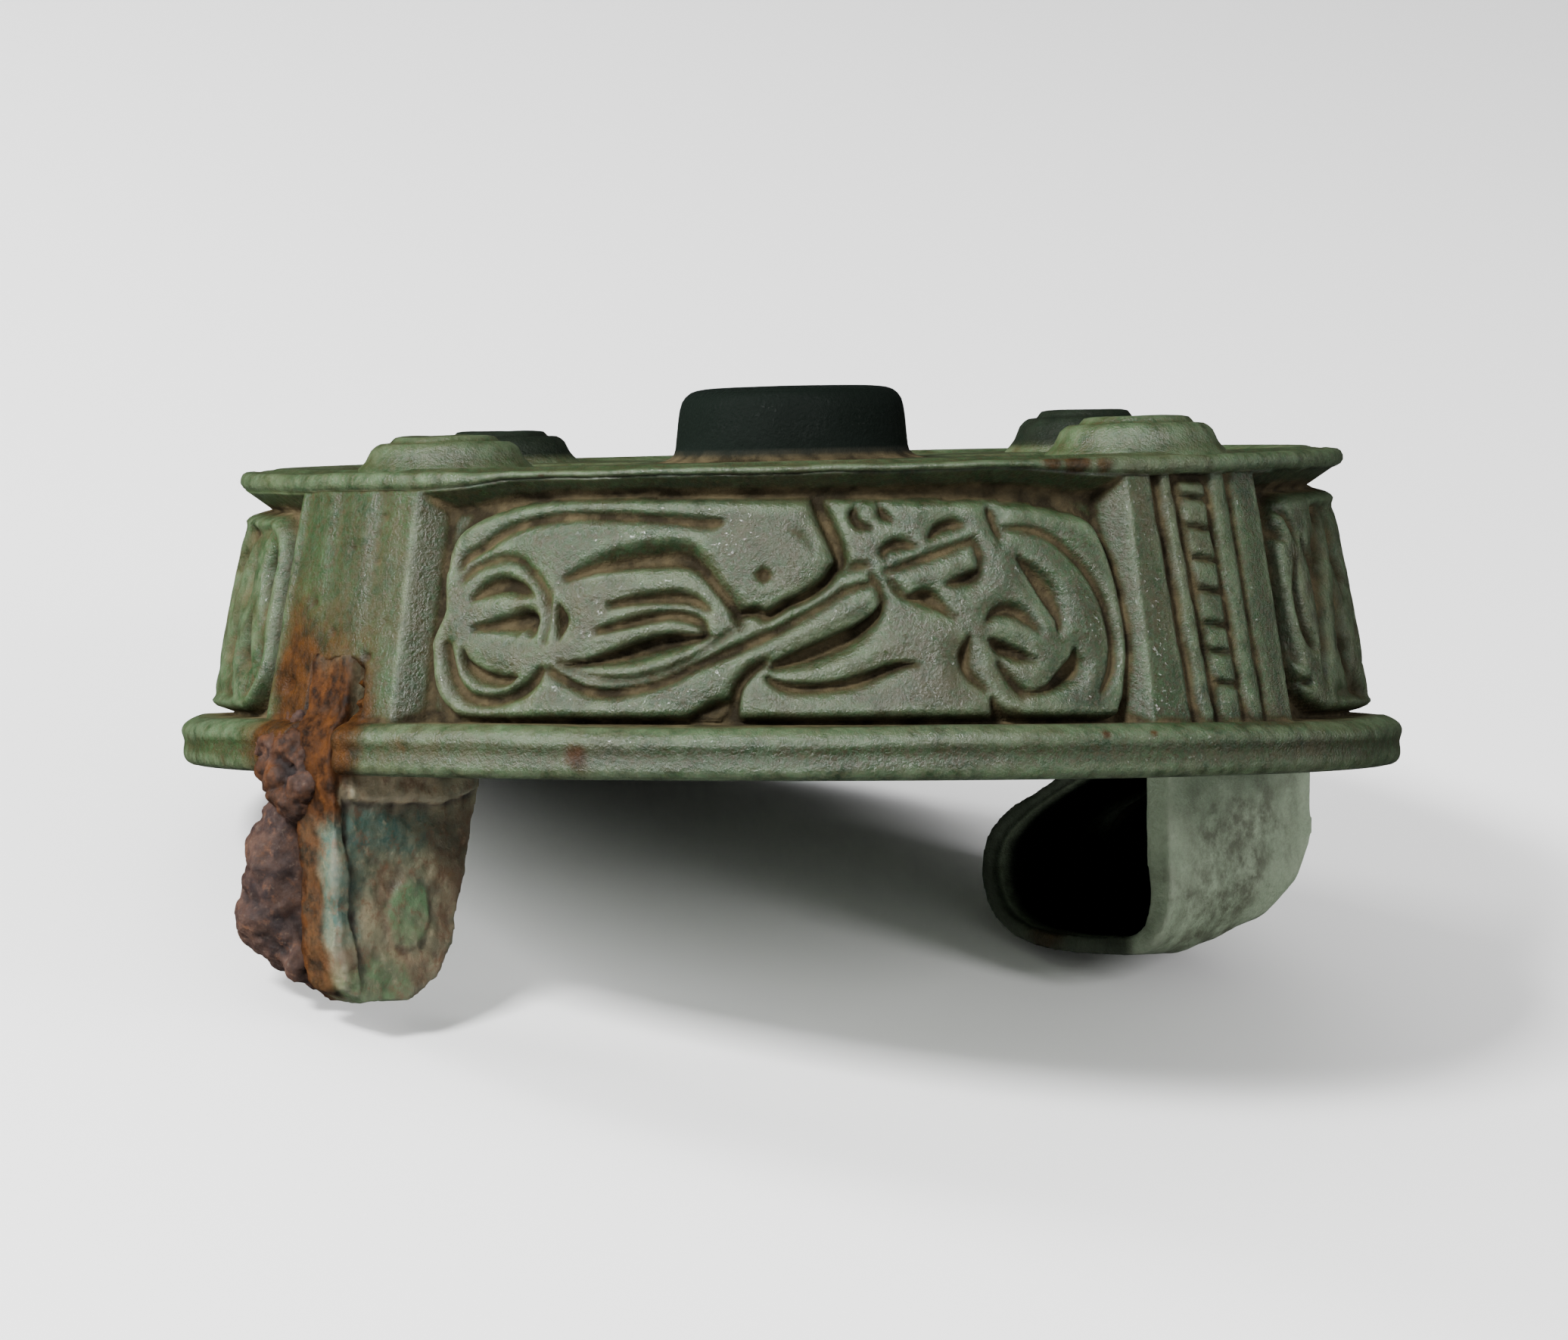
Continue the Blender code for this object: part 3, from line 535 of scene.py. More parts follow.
def top_relief(x, y):
    """Return the height of the top over its sloping plane."""
    radius = np.hypot(x, y)
    angle = np.degrees(np.arctan2(x, -y))
    height = 0.12 * smooth(20.9, 20.3, radius) * smooth(19.6, 20.2, radius)
    for boss_angle, *_ in BOSSES:
        middle = boss_angle + 45
        away = np.abs((angle - middle + 180) % 360 - 180)
        side = (25 - away) / 25 * 0.44 * radius
        inside = np.minimum(np.minimum(radius - 6.4, 19.6 - radius), side)
        field = smooth(0, 0.5, inside)
        along = ((angle - middle + 180) % 360 - 180) / 50 + 0.5
        up = (radius - 7.2) / 11.6
        woven = 0.35 * (1 - smooth(0.2, 0.9, plait(up, along, 2, 0.15))) * smooth(0.5, 1, inside)
        height = height + field * (woven - 0.5)
    return height


def join_rings(rings, closed_start=False):
    """Return points and faces of nested rings, closed over the last one and, if asked for, the first.

    A ring with half as many points is stitched to the one before.
    """
    points = np.vstack(rings)
    starts = np.cumsum([0] + [len(ring) for ring in rings])
    faces = []
    for level in range(len(rings) - 1):
        low, high = starts[level], starts[level + 1]
        many, few = len(rings[level]), len(rings[level + 1])
        if many == few:
            side = np.arange(many)
            after = (side + 1) % many
            faces += np.column_stack([low + side, low + after, high + after, high + side]).tolist()
            continue
        for step in range(few):
            a, b, c = low + 2 * step, low + 2 * step + 1, low + (2 * step + 2) % many
            d, e = high + step, high + (step + 1) % few
            faces += [[int(a), int(b), int(d)], [int(b), int(e), int(d)], [int(b), int(c), int(e)]]
    faces.append([int(starts[-2] + k) for k in range(len(rings[-1]))])
    if closed_start:
        faces.append(list(range(len(rings[0])))[::-1])
    return points, faces


def hollow_rings(foot):
    """Return the rings of the hollow, from the rim's foot inwards and up to the middle of its ceiling."""
    ceiling = TOP_HEIGHT - TOP_THICKNESS - (TOP_SLOPE_X + TOP_SLOPE_Y) * wall_radius(TOP_HEIGHT)
    inside = FOOT_RADIUS - WALL_THICKNESS
    top = wall_radius(ceiling) - WALL_THICKNESS
    angle = columns() / ROUND
    rings = [foot, ring_points(inside, angle, 0), ring_points(inside, angle[::2], 0.05)]
    for radius, height in ((inside, 0.1), (top, ceiling - 0.4), (top - 0.5, ceiling), (12, ceiling),
                           (3, ceiling)):
        rings.append(ring_points(radius, angle[::4], height))
    return rings


def top_ring(radius, angle, lift=0, carved=True):
    """Return a ring lifted over the sloping top, with or without the top's relief."""
    ring = ring_points(radius, angle, 0)
    x, y, _ = ring.T
    ring[:, 2] = top_height(x, y) + (top_relief(x, y) if carved else 0) + lift
    return ring


def drum_mesh():
    """Return the points and faces of the drum's hollow, and those of its outside."""
    rings, angle = drum_rings()
    edge = wall_radius(TOP_HEIGHT)
    rings += [top_ring(radius, angle, -0.05) for radius in (edge - 0.3, edge - 0.7)]
    angle = angle[::2]
    for radius in np.arange(edge - 1, MIDDLE_RADIUS + 0.9, -0.25):
        if abs(radius - 10) < 0.126:
            angle = angle[::2]
        rings.append(top_ring(radius, angle))
    for reach, height in curve_through(MIDDLE_OUTLINE, 0.26):
        rings.append(top_ring(MIDDLE_RADIUS + reach, angle, height, False))
    return join_rings(hollow_rings(rings[0])), join_rings(rings)


def add_object(name, data):
    """Put a new object into the scene."""
    thing = bpy.data.objects.new(name, data)
    bpy.context.scene.collection.objects.link(thing)
    return thing


def make_piece(name, points, faces):
    """Make an object from points in millimetres above the drum's underside."""
    mesh = bpy.data.meshes.new(name)
    mesh.from_pydata((np.array(points, dtype=float) * MM).tolist(), [], faces)
    return add_object(name, mesh)


def make_lumps(name, lumps):
    """Make an object from balls, each given as x, y, z and radius."""
    work = bmesh.new()
    for *place, radius in lumps:
        made = bmesh.ops.create_icosphere(work, subdivisions=3, radius=radius * MM)
        bmesh.ops.translate(work, verts=made["verts"], vec=Vector(place) * MM)
    mesh = bpy.data.meshes.new(name)
    work.to_mesh(mesh)
    work.free()
    return add_object(name, mesh)


def clean(thing, distance=1e-6):
    """Merge doubled points and turn the faces outwards."""
    work = bmesh.new()
    work.from_mesh(thing.data)
    bmesh.ops.remove_doubles(work, verts=work.verts, dist=distance)
    bmesh.ops.recalc_face_normals(work, faces=work.faces)
    work.to_mesh(thing.data)
    work.free()
    for face in thing.data.polygons:
        face.use_smooth = True


def join_pieces(target, others):
    """Join other objects into the target."""
    work = bmesh.new()
    work.from_mesh(target.data)
    for other in others:
        work.from_mesh(other.data)
        bpy.data.objects.remove(other, do_unlink=True)
    work.to_mesh(target.data)
    work.free()


def outer_boss(index):
    """Make one low boss of the top, in two soft steps, its foot sunk in the top."""
    angle, height, radius = BOSSES[index]
    turn = math.radians(angle)
    centre = np.array([BOSS_PLACE * math.sin(turn), -BOSS_PLACE * math.cos(turn)])
    outline = curve_through(
        ((radius + 0.9, -0.35), (radius + 0.55, -0.02), (radius + 0.12, 0.3 * height),
         (radius - 0.1, 0.62 * height), (radius - 0.45, 0.8 * height), (radius - 0.8, 0.82 * height),
         (radius - 1, 0.97 * height), (radius - 1.5, height), (radius - 2.2, 0.98 * height),
         (0.25, 0.97 * height)), 0.2)
    around = np.linspace(0, 2 * math.pi, 64, endpoint=False)
    rings = []
    for reach, up in outline:
        ring = np.column_stack([centre[0] + reach * np.cos(around), centre[1] + reach * np.sin(around),
                                0 * around])
        ring[:, 2] = top_height(ring[:, 0], ring[:, 1]) + up + 0.04 * rough(ring * [1, 1, 0], 1.4, 40 + index)
        rings.append(ring)
    bottom = rings[0] - [0, 0, 0.4]
    return make_piece(f"outer_boss_{index}", *join_rings([bottom, *rings], True))


def remeshed(thing, size, smoothing):
    """Rebuild a closed shape as one even skin of small faces, and round its edges."""
    bpy.context.view_layer.objects.active = thing
    skin = thing.modifiers.new("skin", "REMESH")
    skin.mode = "VOXEL"
    skin.voxel_size = size * MM
    round_off = thing.modifiers.new("round", "SMOOTH")
    round_off.iterations = smoothing
    round_off.factor = 0.5
    graph = bpy.context.evaluated_depsgraph_get()
    made = bpy.data.meshes.new_from_object(thing.evaluated_get(graph))
    thing.modifiers.clear()
    thing.data = made
    for face in made.polygons:
        face.use_smooth = True


def mesh_arrays(mesh):
    """Return the points in millimetres, the normals and the edges of a mesh."""
    points = np.empty(len(mesh.vertices) * 3)
    mesh.vertices.foreach_get("co", points)
    normals = np.empty(len(mesh.vertices) * 3)
    mesh.vertex_normals.foreach_get("vector", normals)
    edges = np.empty(len(mesh.edges) * 2, dtype=np.int64)
    mesh.edges.foreach_get("vertices", edges)
    return points.reshape(-1, 3) / MM, normals.reshape(-1, 3), edges.reshape(-1, 2)


def move_points(mesh, points):
    """Write points in millimetres back to a mesh."""
    mesh.vertices.foreach_set("co", (points * MM).ravel())
    mesh.update()


def weather(thing, strength, seed, sizes=(1.6, 0.4)):
    """Push the skin in and out along its normals by noise of several sizes."""
    points, normals, _ = mesh_arrays(thing.data)
    push = layered(points, sizes[0], seed) + 0.35 * layered(points, sizes[1], seed + 9)
    move_points(thing.data, points + normals * (strength * push)[:, None])


def relax(values, edges, count, rounds):
    """Return values evened out over neighbouring points."""
    a, b = edges[:, 0], edges[:, 1]
    degree = np.bincount(a, minlength=count) + np.bincount(b, minlength=count) + 1
    for _ in range(rounds):
        parts = []
        for k in range(values.shape[1]):
            near = np.bincount(a, values[b, k], count) + np.bincount(b, values[a, k], count)
            parts.append((near + values[:, k]) / degree)
        values = np.column_stack(parts)
    return values


def mark(thing, **marks):
    """Store numbers for each point, which the materials read."""
    for name, values in marks.items():
        layer = thing.data.attributes.new(name, "FLOAT", "POINT")
        layer.data.foreach_set("value", np.ascontiguousarray(values, dtype=np.float32))


def mark_wear(thing, near_rounds=5, far_rounds=24):
    """Store where dirt gathers and where edges are rubbed, from how each point lies to its neighbours."""
    points, normals, edges = mesh_arrays(thing.data)
    count = len(points)
    near = np.sum((points - relax(points, edges, count, near_rounds)) * normals, axis=1)
    far = np.sum((points - relax(points, edges, count, far_rounds)) * normals, axis=1)
    grime = np.clip(-near / 0.035, 0, 1) * 0.6 + np.clip(-far / 0.14, 0, 1) * 0.7
    wear = np.clip(near / 0.03, 0, 1) * 0.6 + np.clip(far / 0.12, 0, 1) * 0.5
    grime, wear = np.clip(relax(np.column_stack([grime, wear]), edges, count, 2), 0, 1).T
    mark(thing, grime=grime, wear=wear)
    return points


def spots(points, places):
    """Return 0..1 near the given spots, each given as x, y, z, size and strength, with ragged edges."""
    total = np.zeros(len(points))
    ragged = 1 + 0.45 * layered(points, 0.9, 71)
    for x, y, z, size, strength in places:
        away = np.linalg.norm(points - [x, y, z], axis=1) * ragged
        total = np.maximum(total, strength * smooth(size, 0.45 * size, away))
    return total


def on_wall(u, z, out=0):
    """Return the place in space of a place on the wall."""
    radius = wall_radius(z) + out
    return radius * math.sin(u / ROUND), -radius * math.cos(u / ROUND), z
def wall_spots(points, places):
    """Return 0..1 near spots on the wall, each given as u, z, how far out, size and strength."""
    return spots(points, [(*on_wall(*spot[:3]), *spot[3:]) for spot in places])


class Nodes:
    """A small helper that adds nodes to one material, links them and holds the colour so far."""

    def __init__(self, name, colour=None):
        self.material = bpy.data.materials.new(name)
        self.material.use_nodes = True
        self.tree = self.material.node_tree
        self.shader = self.tree.nodes["Principled BSDF"]
        self.colour = colour

    def add(self, kind, inputs=(), **settings):
        node = self.tree.nodes.new(kind)
        for key, value in settings.items():
            setattr(node, key, value)
        for key, value in dict(inputs).items():
            self.set(node, key, value)
        return node

    def set(self, node, key, value):
        socket = node.inputs[key]
        if isinstance(value, bpy.types.NodeSocket):
            self.tree.links.new(value, socket)
        else:
            socket.default_value = value

    def attribute(self, name):
        return self.add("ShaderNodeAttribute", attribute_name=name).outputs["Fac"]

    def noise(self, size, detail=4, roughness=0.6):
        """Return noise whose features are about the given size in millimetres."""
        place = self.add("ShaderNodeTexCoord").outputs["Object"]
        node = self.add("ShaderNodeTexNoise", {"Vector": place, "Scale": 1 / (size * MM), "Detail": detail,
                                               "Roughness": roughness})
        return node.outputs["Fac"]

    def ramp(self, value, low, high, start=0, end=1):
        node = self.add("ShaderNodeMapRange", {"Value": value, "From Min": low, "From Max": high,
                                               "To Min": start, "To Max": end}, clamp=True)
        return node.outputs["Result"]

    def patches(self, noise, *limits):
        """Return noise, given as size, detail and roughness, stretched between the limits of a ramp."""
        return self.ramp(self.noise(*noise), *limits)

    def maths(self, operation, a, b):
        return self.add("ShaderNodeMath", {0: a, 1: b}, operation=operation).outputs[0]

    def mix(self, share, a, b):
        node = self.add("ShaderNodeMix", data_type="RGBA")
        self.set(node, 0, share)
        for key, value in ((6, a), (7, b)):
            self.set(node, key, (*value, 1) if isinstance(value, tuple) else value)
        return node.outputs[2]

    def tones(self, noise, low, high, first, second):
        """Return two colours mixed by patches of noise."""
        return self.mix(self.patches(noise, low, high), first, second)

    def coat(self, share, paint):
        """Lay paint over the colour so far."""
        self.colour = self.mix(share, self.colour, paint)

    def finish(self, roughness, height, strength, depth, specular=0.5):
        """Return the material with the colour so far and bumps of this depth in millimetres."""
        bump = self.add("ShaderNodeBump", {"Height": height, "Strength": strength, "Distance": depth * MM})
        values = {"Base Color": self.colour, "Roughness": roughness, "Normal": bump.outputs["Normal"],
                  "Specular IOR Level": specular}
        for key, value in values.items():
            self.set(self.shader, key, value)
        return self.material


def patina_material(name, deep, middle, pale, rubbed, gloss, grit):
    """Make green patina: blotches, dirt in the hollows, rubbed crests, rust, and painted shade near black
    where a mark asks for it.
    """
    made = Nodes(name)
    made.colour = made.tones((3.2, 5, 0.62), 0.35, 0.66, deep, middle)
    made.coat(made.patches((0.45, 6, 0.7), 0.46, 0.72, 0, 0.5 * grit + 0.05), pale)
    made.coat(made.patches((0.2, 4, 0.75), 0.44, 0.6, 0, grit), (0.017, 0.013, 0.004))
    broad = made.patches((5.5, 4, 0.6), 0.42, 0.62)
    olive = made.maths("MULTIPLY", broad, made.patches((0.7, 5, 0.7), 0.35, 0.6))
    made.coat(made.ramp(olive, 0, 1, 0, 0.75), (0.024, 0.022, 0.008))
    wear = made.maths("MULTIPLY", made.attribute("wear"), made.patches((0.8, 5, 0.7), 0.25, 0.6))
    made.coat(made.ramp(wear, 0.25, 1, 0, 0.3), rubbed)
    grime = made.maths("MULTIPLY", made.attribute("grime"), made.patches((0.6, 5, 0.7), 0.2, 0.5, 0.55, 1))
    earth = made.tones((1.3,), 0.4, 0.65, (0.011, 0.008, 0.004), (0.048, 0.037, 0.019))
    made.coat(made.ramp(grime, 0.22, 0.8, 0, 0.95), earth)
    # Painted shade: near black, and with little sheen further down, wherever the shade mark is
    made.coat(made.attribute("dark"), (0.003, 0.0045, 0.0035))
    rusty = made.tones((0.7, 6, 0.7), 0.35, 0.65, (0.006, 0.003, 0.0015), (0.034, 0.012, 0.002))
    made.coat(made.attribute("rust"), rusty)
    roughness = made.patches((0.3, 5, 0.7), 0.3, 0.7, gloss, gloss + 0.3)
    roughness = made.maths("ADD", roughness, made.ramp(grime, 0.1, 0.8, 0, 0.35))
    matt = made.maths("MAXIMUM", made.attribute("dark"), made.ramp(grime, 0.1, 0.6, 0, 0.9))
    matt = made.maths("MAXIMUM", matt, made.maths("MULTIPLY", made.attribute("rust"), 0.75))
    specular = made.ramp(matt, 0, 1, 0.5, 0.03)
    return made.finish(roughness, made.patches((0.17, 4, 0.7), 0.3, 0.62), 0.5, 0.07, specular)


def iron_material():
    """Make corroded iron: dark purple brown lumps with orange crumbs and glossy specks."""
    made = Nodes("corroded_iron")
    made.colour = made.tones((1.1, 6, 0.7), 0.35, 0.62, (0.009, 0.005, 0.005), (0.036, 0.019, 0.013))
    made.coat(made.patches((0.6, 6, 0.75), 0.55, 0.72), (0.075, 0.032, 0.014))
    made.coat(made.patches((0.25, 6, 0.75), 0.58, 0.72, 0, 0.45), (0.12, 0.09, 0.065))
    rusty = made.tones((0.5, 6, 0.7), 0.4, 0.62, (0.009, 0.004, 0.002), (0.04, 0.0135, 0.003))
    made.coat(made.attribute("rust"), rusty)
    made.coat(made.ramp(made.attribute("grime"), 0.1, 0.8, 0, 0.85), (0.006, 0.004, 0.004))
    roughness = made.patches((0.35, 6, 0.75), 0.35, 0.65, 0.35, 0.9)
    return made.finish(roughness, made.noise(0.3, 8, 0.8), 0.6, 0.12, 0.22)


def lug_material():
    """Make the lug's patina: teal and olive, with beige and brown stains and rust on its end."""
    made = Nodes("lug_patina")
    made.colour = made.tones((1.6, 5, 0.65), 0.38, 0.62, (0.032, 0.038, 0.022), (0.09, 0.083, 0.046))
    mottle = made.patches((0.7, 7, 0.75), 0.4, 0.6, 0.25, 1)
    for stain, paint in (("brown", (0.05, 0.026, 0.012)), ("teal", (0.01, 0.038, 0.031)),
                         ("beige", (0.17, 0.125, 0.07)), ("green", (0.035, 0.09, 0.035))):
        made.coat(made.maths("MULTIPLY", mottle, made.attribute(stain)), paint)
    made.coat(made.patches((0.5, 6, 0.75), 0.52, 0.64, 0, 0.8), (0.06, 0.03, 0.013))
    made.coat(made.ramp(made.attribute("wear"), 0.3, 1, 0, 0.2), (0.14, 0.14, 0.1))
    made.coat(made.patches((0.3, 6, 0.75), 0.57, 0.72, 0, 0.5), (0.15, 0.12, 0.07))
    rusty = made.tones((0.8, 6, 0.7), 0.38, 0.6, (0.006, 0.003, 0.0015), (0.036, 0.0125, 0.0025))
    made.coat(made.attribute("rust"), rusty)
    made.coat(made.ramp(made.attribute("grime"), 0.1, 0.7, 0, 0.9), (0.014, 0.009, 0.006))
    roughness = made.patches((0.4, 6, 0.7), 0.3, 0.7, 0.35, 0.75)
    specular = made.ramp(made.attribute("rust"), 0, 1, 0.4, 0.1)
    return made.finish(roughness, made.noise(0.25, 7, 0.75), 0.6, 0.1, specular)


def build_drum():
    """Make the drum and its marks."""
    inner, outer = drum_mesh()
    drum = make_piece("carved_drum", *outer)
    join_pieces(drum, [make_piece("drum_hollow", *inner)])
    clean(drum, 1e-8)
    join_pieces(drum, [outer_boss(index) for index in range(4)])
    clean(drum, 1e-7)
    points = mark_wear(drum)
    x, y, z = points.T
    above = z - top_height(x, y)
    ragged = layered(points, 1.2, 81)
    # Painted shade, near black: the middle boss, the two far bosses and the gap beside the tang
    dark = [smooth(5.3, 4.9, np.hypot(x, y)) * smooth(0.05, 0.4, above)]
    for angle, *_ in BOSSES[2:]:
        turn = math.radians(angle)
        away = np.hypot(x - BOSS_PLACE * math.sin(turn), y + BOSS_PLACE * math.cos(turn))
        dark.append(0.9 * smooth(3.9, 3.3, away) * smooth(0.1, 0.4, above))
    u = np.arctan2(x, -y) * ROUND
    shaded = smooth(6.5, 3, z + 0.35 * (u + 17) + 0.8 * ragged)
    foot_rust = 0.95 * shaded * smooth(-23.2, -21.6, u + ragged) * smooth(-15.6, -16.9, u + 0.6 * ragged)
    rim_rust = 0.8 * (smooth(-23.6, -21.5, u) * smooth(-16.5, -18.5, u) * smooth(2.4, 1.6, z))
    mark(drum, dark=strongest(*dark, wall_spots(points, TANG_SHADE_SPOTS)),
         rust=strongest(foot_rust, rim_rust, wall_spots(points, FLAKES)))
    return drum


def upright(name, outline, low, high):
    """Make a flat solid whose outline of run and height stands upright, from low to high across the lug."""
    count = len(outline)
    points = [(*(run * OUTWARD + offset * NEAR), height) for offset in (low, high) for run, height in outline]
    faces = [list(range(count))[::-1], list(range(count, 2 * count))]
    for side in range(count):
        after = (side + 1) % count
        faces.append([side, after, count + after, count + side])
    thing = make_piece(name, points, faces)
    clean(thing, 1e-7)
    return thing


def build_lug():
    """Make the hinge lug with its tang, worn and corroded."""
    outline = [
        (20.25, 0.5), (LUG_ROOT, 0.5), (LUG_ROOT + 0.1, -0.6), (LUG_ROOT + 0.35, -1.6),
        (LUG_ROOT + 0.8, -3.8), (LUG_ROOT + 1.4, -6.4), (LUG_ROOT + 2.1, -7.6), (LUG_ROOT + 3.5, -LUG_DROP),
        (LUG_OUTER - 1.6, -LUG_DROP), (LUG_OUTER - 0.6, -0.94 * LUG_DROP), (LUG_OUTER - 0.1, -6.3),
        (LUG_OUTER, -1), (LUG_OUTER + 0.2, 0.5), (LUG_OUTER + 0.05, 1.6), (22.96, 2.3), (22.62, 4.4),
        (21.6, 4.4), (22.35, -0.3), (20.25, -0.3)]
    lug = upright("hinge_lug", outline, -1.1, 1.1)
    turns = np.linspace(0, 2 * math.pi, 24, endpoint=False)
    spot = [(AXLE_RUN + 0.95 * math.cos(t), AXLE_HEIGHT + 1.25 * math.sin(t)) for t in turns]
    axle = upright("axle_end", spot, 0.4, 1.22)
    ridge = [(LUG_OUTER - 0.35, -0.9), (LUG_OUTER + 0.05, -0.9), (LUG_OUTER, -4.4), (LUG_OUTER - 0.5, -7.6),
             (LUG_OUTER - 1.3, -7.9), (LUG_OUTER - 0.7, -5)]
    edge = upright("lug_edge", ridge, 0.7, 1.28)
    band = [(LUG_ROOT + 0.1, 0.4), (LUG_OUTER - 0.6, 0.4), (LUG_OUTER - 0.7, -0.9), (LUG_ROOT + 2, -1.05),
            (LUG_ROOT + 0.5, -0.7)]
    root = upright("lug_root", band, -1.35, 1.4)
    join_pieces(lug, [axle, edge, root])
    remeshed(lug, 0.11, 3)
    weather(lug, 0.15, 51)
    points = mark_wear(lug, 4, 20)
    run = points[:, :2] @ OUTWARD
    side = points[:, :2] @ NEAR
    z = points[:, 2]
    ragged = 0.5 * layered(points, 1.1, 61)
    fine = 0.4 * layered(points, 0.5, 66)
    front = smooth(0.5, 1, side)
    teal = strongest(smooth(22, 22.6, run + ragged) * smooth(-6.6, -5.6, z + ragged),
                     smooth(-3.4, -2.6, z + ragged) * smooth(18.8, 19.6, run + ragged))
    teal = 0.85 * (teal * smooth(-0.8, -1.2, z + fine))
    axle_spot = smooth(1.15, 0.8, np.hypot(run - AXLE_RUN, (z - AXLE_HEIGHT) / 1.25) + 0.5 * fine) * front
    foot = smooth(1.5, 0.9, np.hypot((run - 21.4) / 1.3, z + 7.9) + ragged)
    beige = front * strongest(
        0.9 * smooth(0.9, 0.3, np.hypot((run - 22) / 0.6, (z + 5.3) / 1.6) + ragged),
        0.75 * smooth(-1.6, -0.9, z + ragged) * smooth(18, 19, run + ragged),
        0.6 * smooth(1.2, 0.7, np.hypot(run - AXLE_RUN - 0.2, z + 6.3) + 2 * fine))
    brown = strongest(smooth(19.3, 18.4, run + ragged) * smooth(-1.2, -2, z + ragged),
                      smooth(1, 0.5, np.hypot((run - 20.9) / 1.1, (z + 4.5) / 1.4) + ragged),
                      0.9 * smooth(-6.1, -6.8, z + ragged))
    rust = strongest(smooth(LUG_OUTER - 0.5, LUG_OUTER - 0.2, run + 0.6 * fine)
                     * smooth(-2.4, -1.2, z + ragged),
                     smooth(0, -0.9, side + fine) * smooth(19, 20, run),
                     smooth(-0.5, 0.2, z + ragged) * smooth(22.2, 22.8, run),
                     0.9 * smooth(0.75, 0.1, side + 0.6 * ragged) * smooth(22, 22.6, run))
    mark(lug, teal=teal, green=strongest(0.75 * axle_spot, 0.7 * foot), beige=0.8 * beige, brown=0.85 * brown,
         rust=rust)
    return lug


def catch_section():
    """Return the middle line of the bent sheet of the catch, as offset and height."""
    width = CATCH_WIDTH - 2 * CATCH_HALF_WALL
    drop = CATCH_DROP - CATCH_HALF_WALL
    return curve_through(
        ((0, 0.4), (0, -0.45 * drop), (0, -0.78 * drop), (0.1 * width, -0.97 * drop), (0.3 * width, -drop),
         (0.55 * width, -0.995 * drop), (0.8 * width, -0.95 * drop), (0.96 * width, -0.82 * drop),
         (width, -0.58 * drop), (0.88 * width, -0.38 * drop), (0.5 * width, -0.14 * drop)), 0.3)


def build_catch():
    """Make the pin catch, a sheet that drops from the plate, bends under and rises to a free lip."""
    turn = math.radians(CATCH_TURN)
    along = np.array([math.cos(turn), math.sin(turn)])
    across = np.array([-math.sin(turn), math.cos(turn)])
    line = catch_section()
    step = np.gradient(line, axis=0)
    normal = np.column_stack([-step[:, 1], step[:, 0]]) / np.linalg.norm(step, axis=1)[:, None]
    along_line = np.linspace(0, 1, len(line))[:, None]
    half = np.interp(along_line, (0, 0.22, 0.4, 0.75, 1), (1, 1, 0.6, 0.45, 0.3)) * CATCH_HALF_WALL
    outer = line - CATCH_HALF_WALL * normal + [CATCH_HALF_WALL, 0]
    loop_inside = outer + 2 * half * normal

    def rings_of(loop, shares):
        """Return rings of a section at shares of the catch's length. Its floor rises to the far end."""
        rings = []
        for share in shares:
            rise = np.interp(share, (0.3, 0.55, 0.8, 0.93, 1), (0, 0.06, 0.14, 0.24, 0.42))
            ring = []
            for offset, height in loop:
                place = CATCH_END + (share - 1) * CATCH_LENGTH * along + offset * across
                ring.append((place[0], place[1], height * (1 - rise) if height < 0 else height))
            rings.append(np.array(ring))
        return rings

    loop = np.vstack([outer, loop_inside[::-1]])
    catch = make_piece("pin_catch", *join_rings(rings_of(loop, (0, 0.3, 0.55, 0.8, 0.93, 1)), True))
    closing = (outer + loop_inside) / 2
    end_wall = make_piece("catch_end", *join_rings(rings_of(closing, (0.84, 0.93, 0.985)), True))
    clean(catch, 1e-7)
    clean(end_wall, 1e-7)
    join_pieces(catch, [end_wall])
    remeshed(catch, 0.15, 4)
    weather(catch, 0.07, 55, (2.4, 0.6))
    points = mark_wear(catch, 4, 20)
    here = points[:, :2] - CATCH_END
    offset = here @ across
    reach = here @ along + CATCH_LENGTH
    inside = inside_of(loop_inside, offset, points[:, 2])
    # Painted shade, near black: inside the catch's channel and across its open end
    dark = smooth(-0.5, -0.1, inside) * smooth(0.2, 1.6, reach) * smooth(0.9, 0.85, reach / CATCH_LENGTH)
    mark(catch, dark=strongest(dark, 0.8 * smooth(0.7, 0.3, reach) * smooth(1.6, 2.4, offset)),
         rust=spots(points, [(13.2, 3, -7.2, 0.5, 0.8), (10.5, 6.5, -7, 1.4, 0.6)]))
    return catch


def build_plate():
    """Make the disc that closes the drum from below."""
    around = np.linspace(0, 2 * math.pi, 200, endpoint=False)
    outline = [(0.3, 1.2), (19.9, 1.2), (20.4, 1.1), (20.55, 0.9), (20.55, 0.25), (20.45, 0.05), (20.2, 0)]
    outline += [(radius, 0) for radius in np.arange(19.7, 0.4, -0.55)]
    points, faces = join_rings([ring_points(radius, around, height) for radius, height in outline], True)
    plate = make_piece("base_plate_disc", points, faces)
    clean(plate, 1e-7)
    points, _, _ = mesh_arrays(plate.data)
    push = 0.06 * layered(points, 5, 91) + 0.04 * layered(points, 1.2, 92)
    points[:, 2] += np.where(points[:, 2] < 0.4, push, 0)
    move_points(plate.data, points)
    points = mark_wear(plate)
    lug_away = np.hypot(points[:, 0] - AXLE_RUN * OUTWARD[0], points[:, 1] - AXLE_RUN * OUTWARD[1])
    mark(plate, dark=np.zeros(len(points)), rust=0.7 * smooth(8, 4, lug_away + 2 * layered(points, 2, 93)))
    return plate


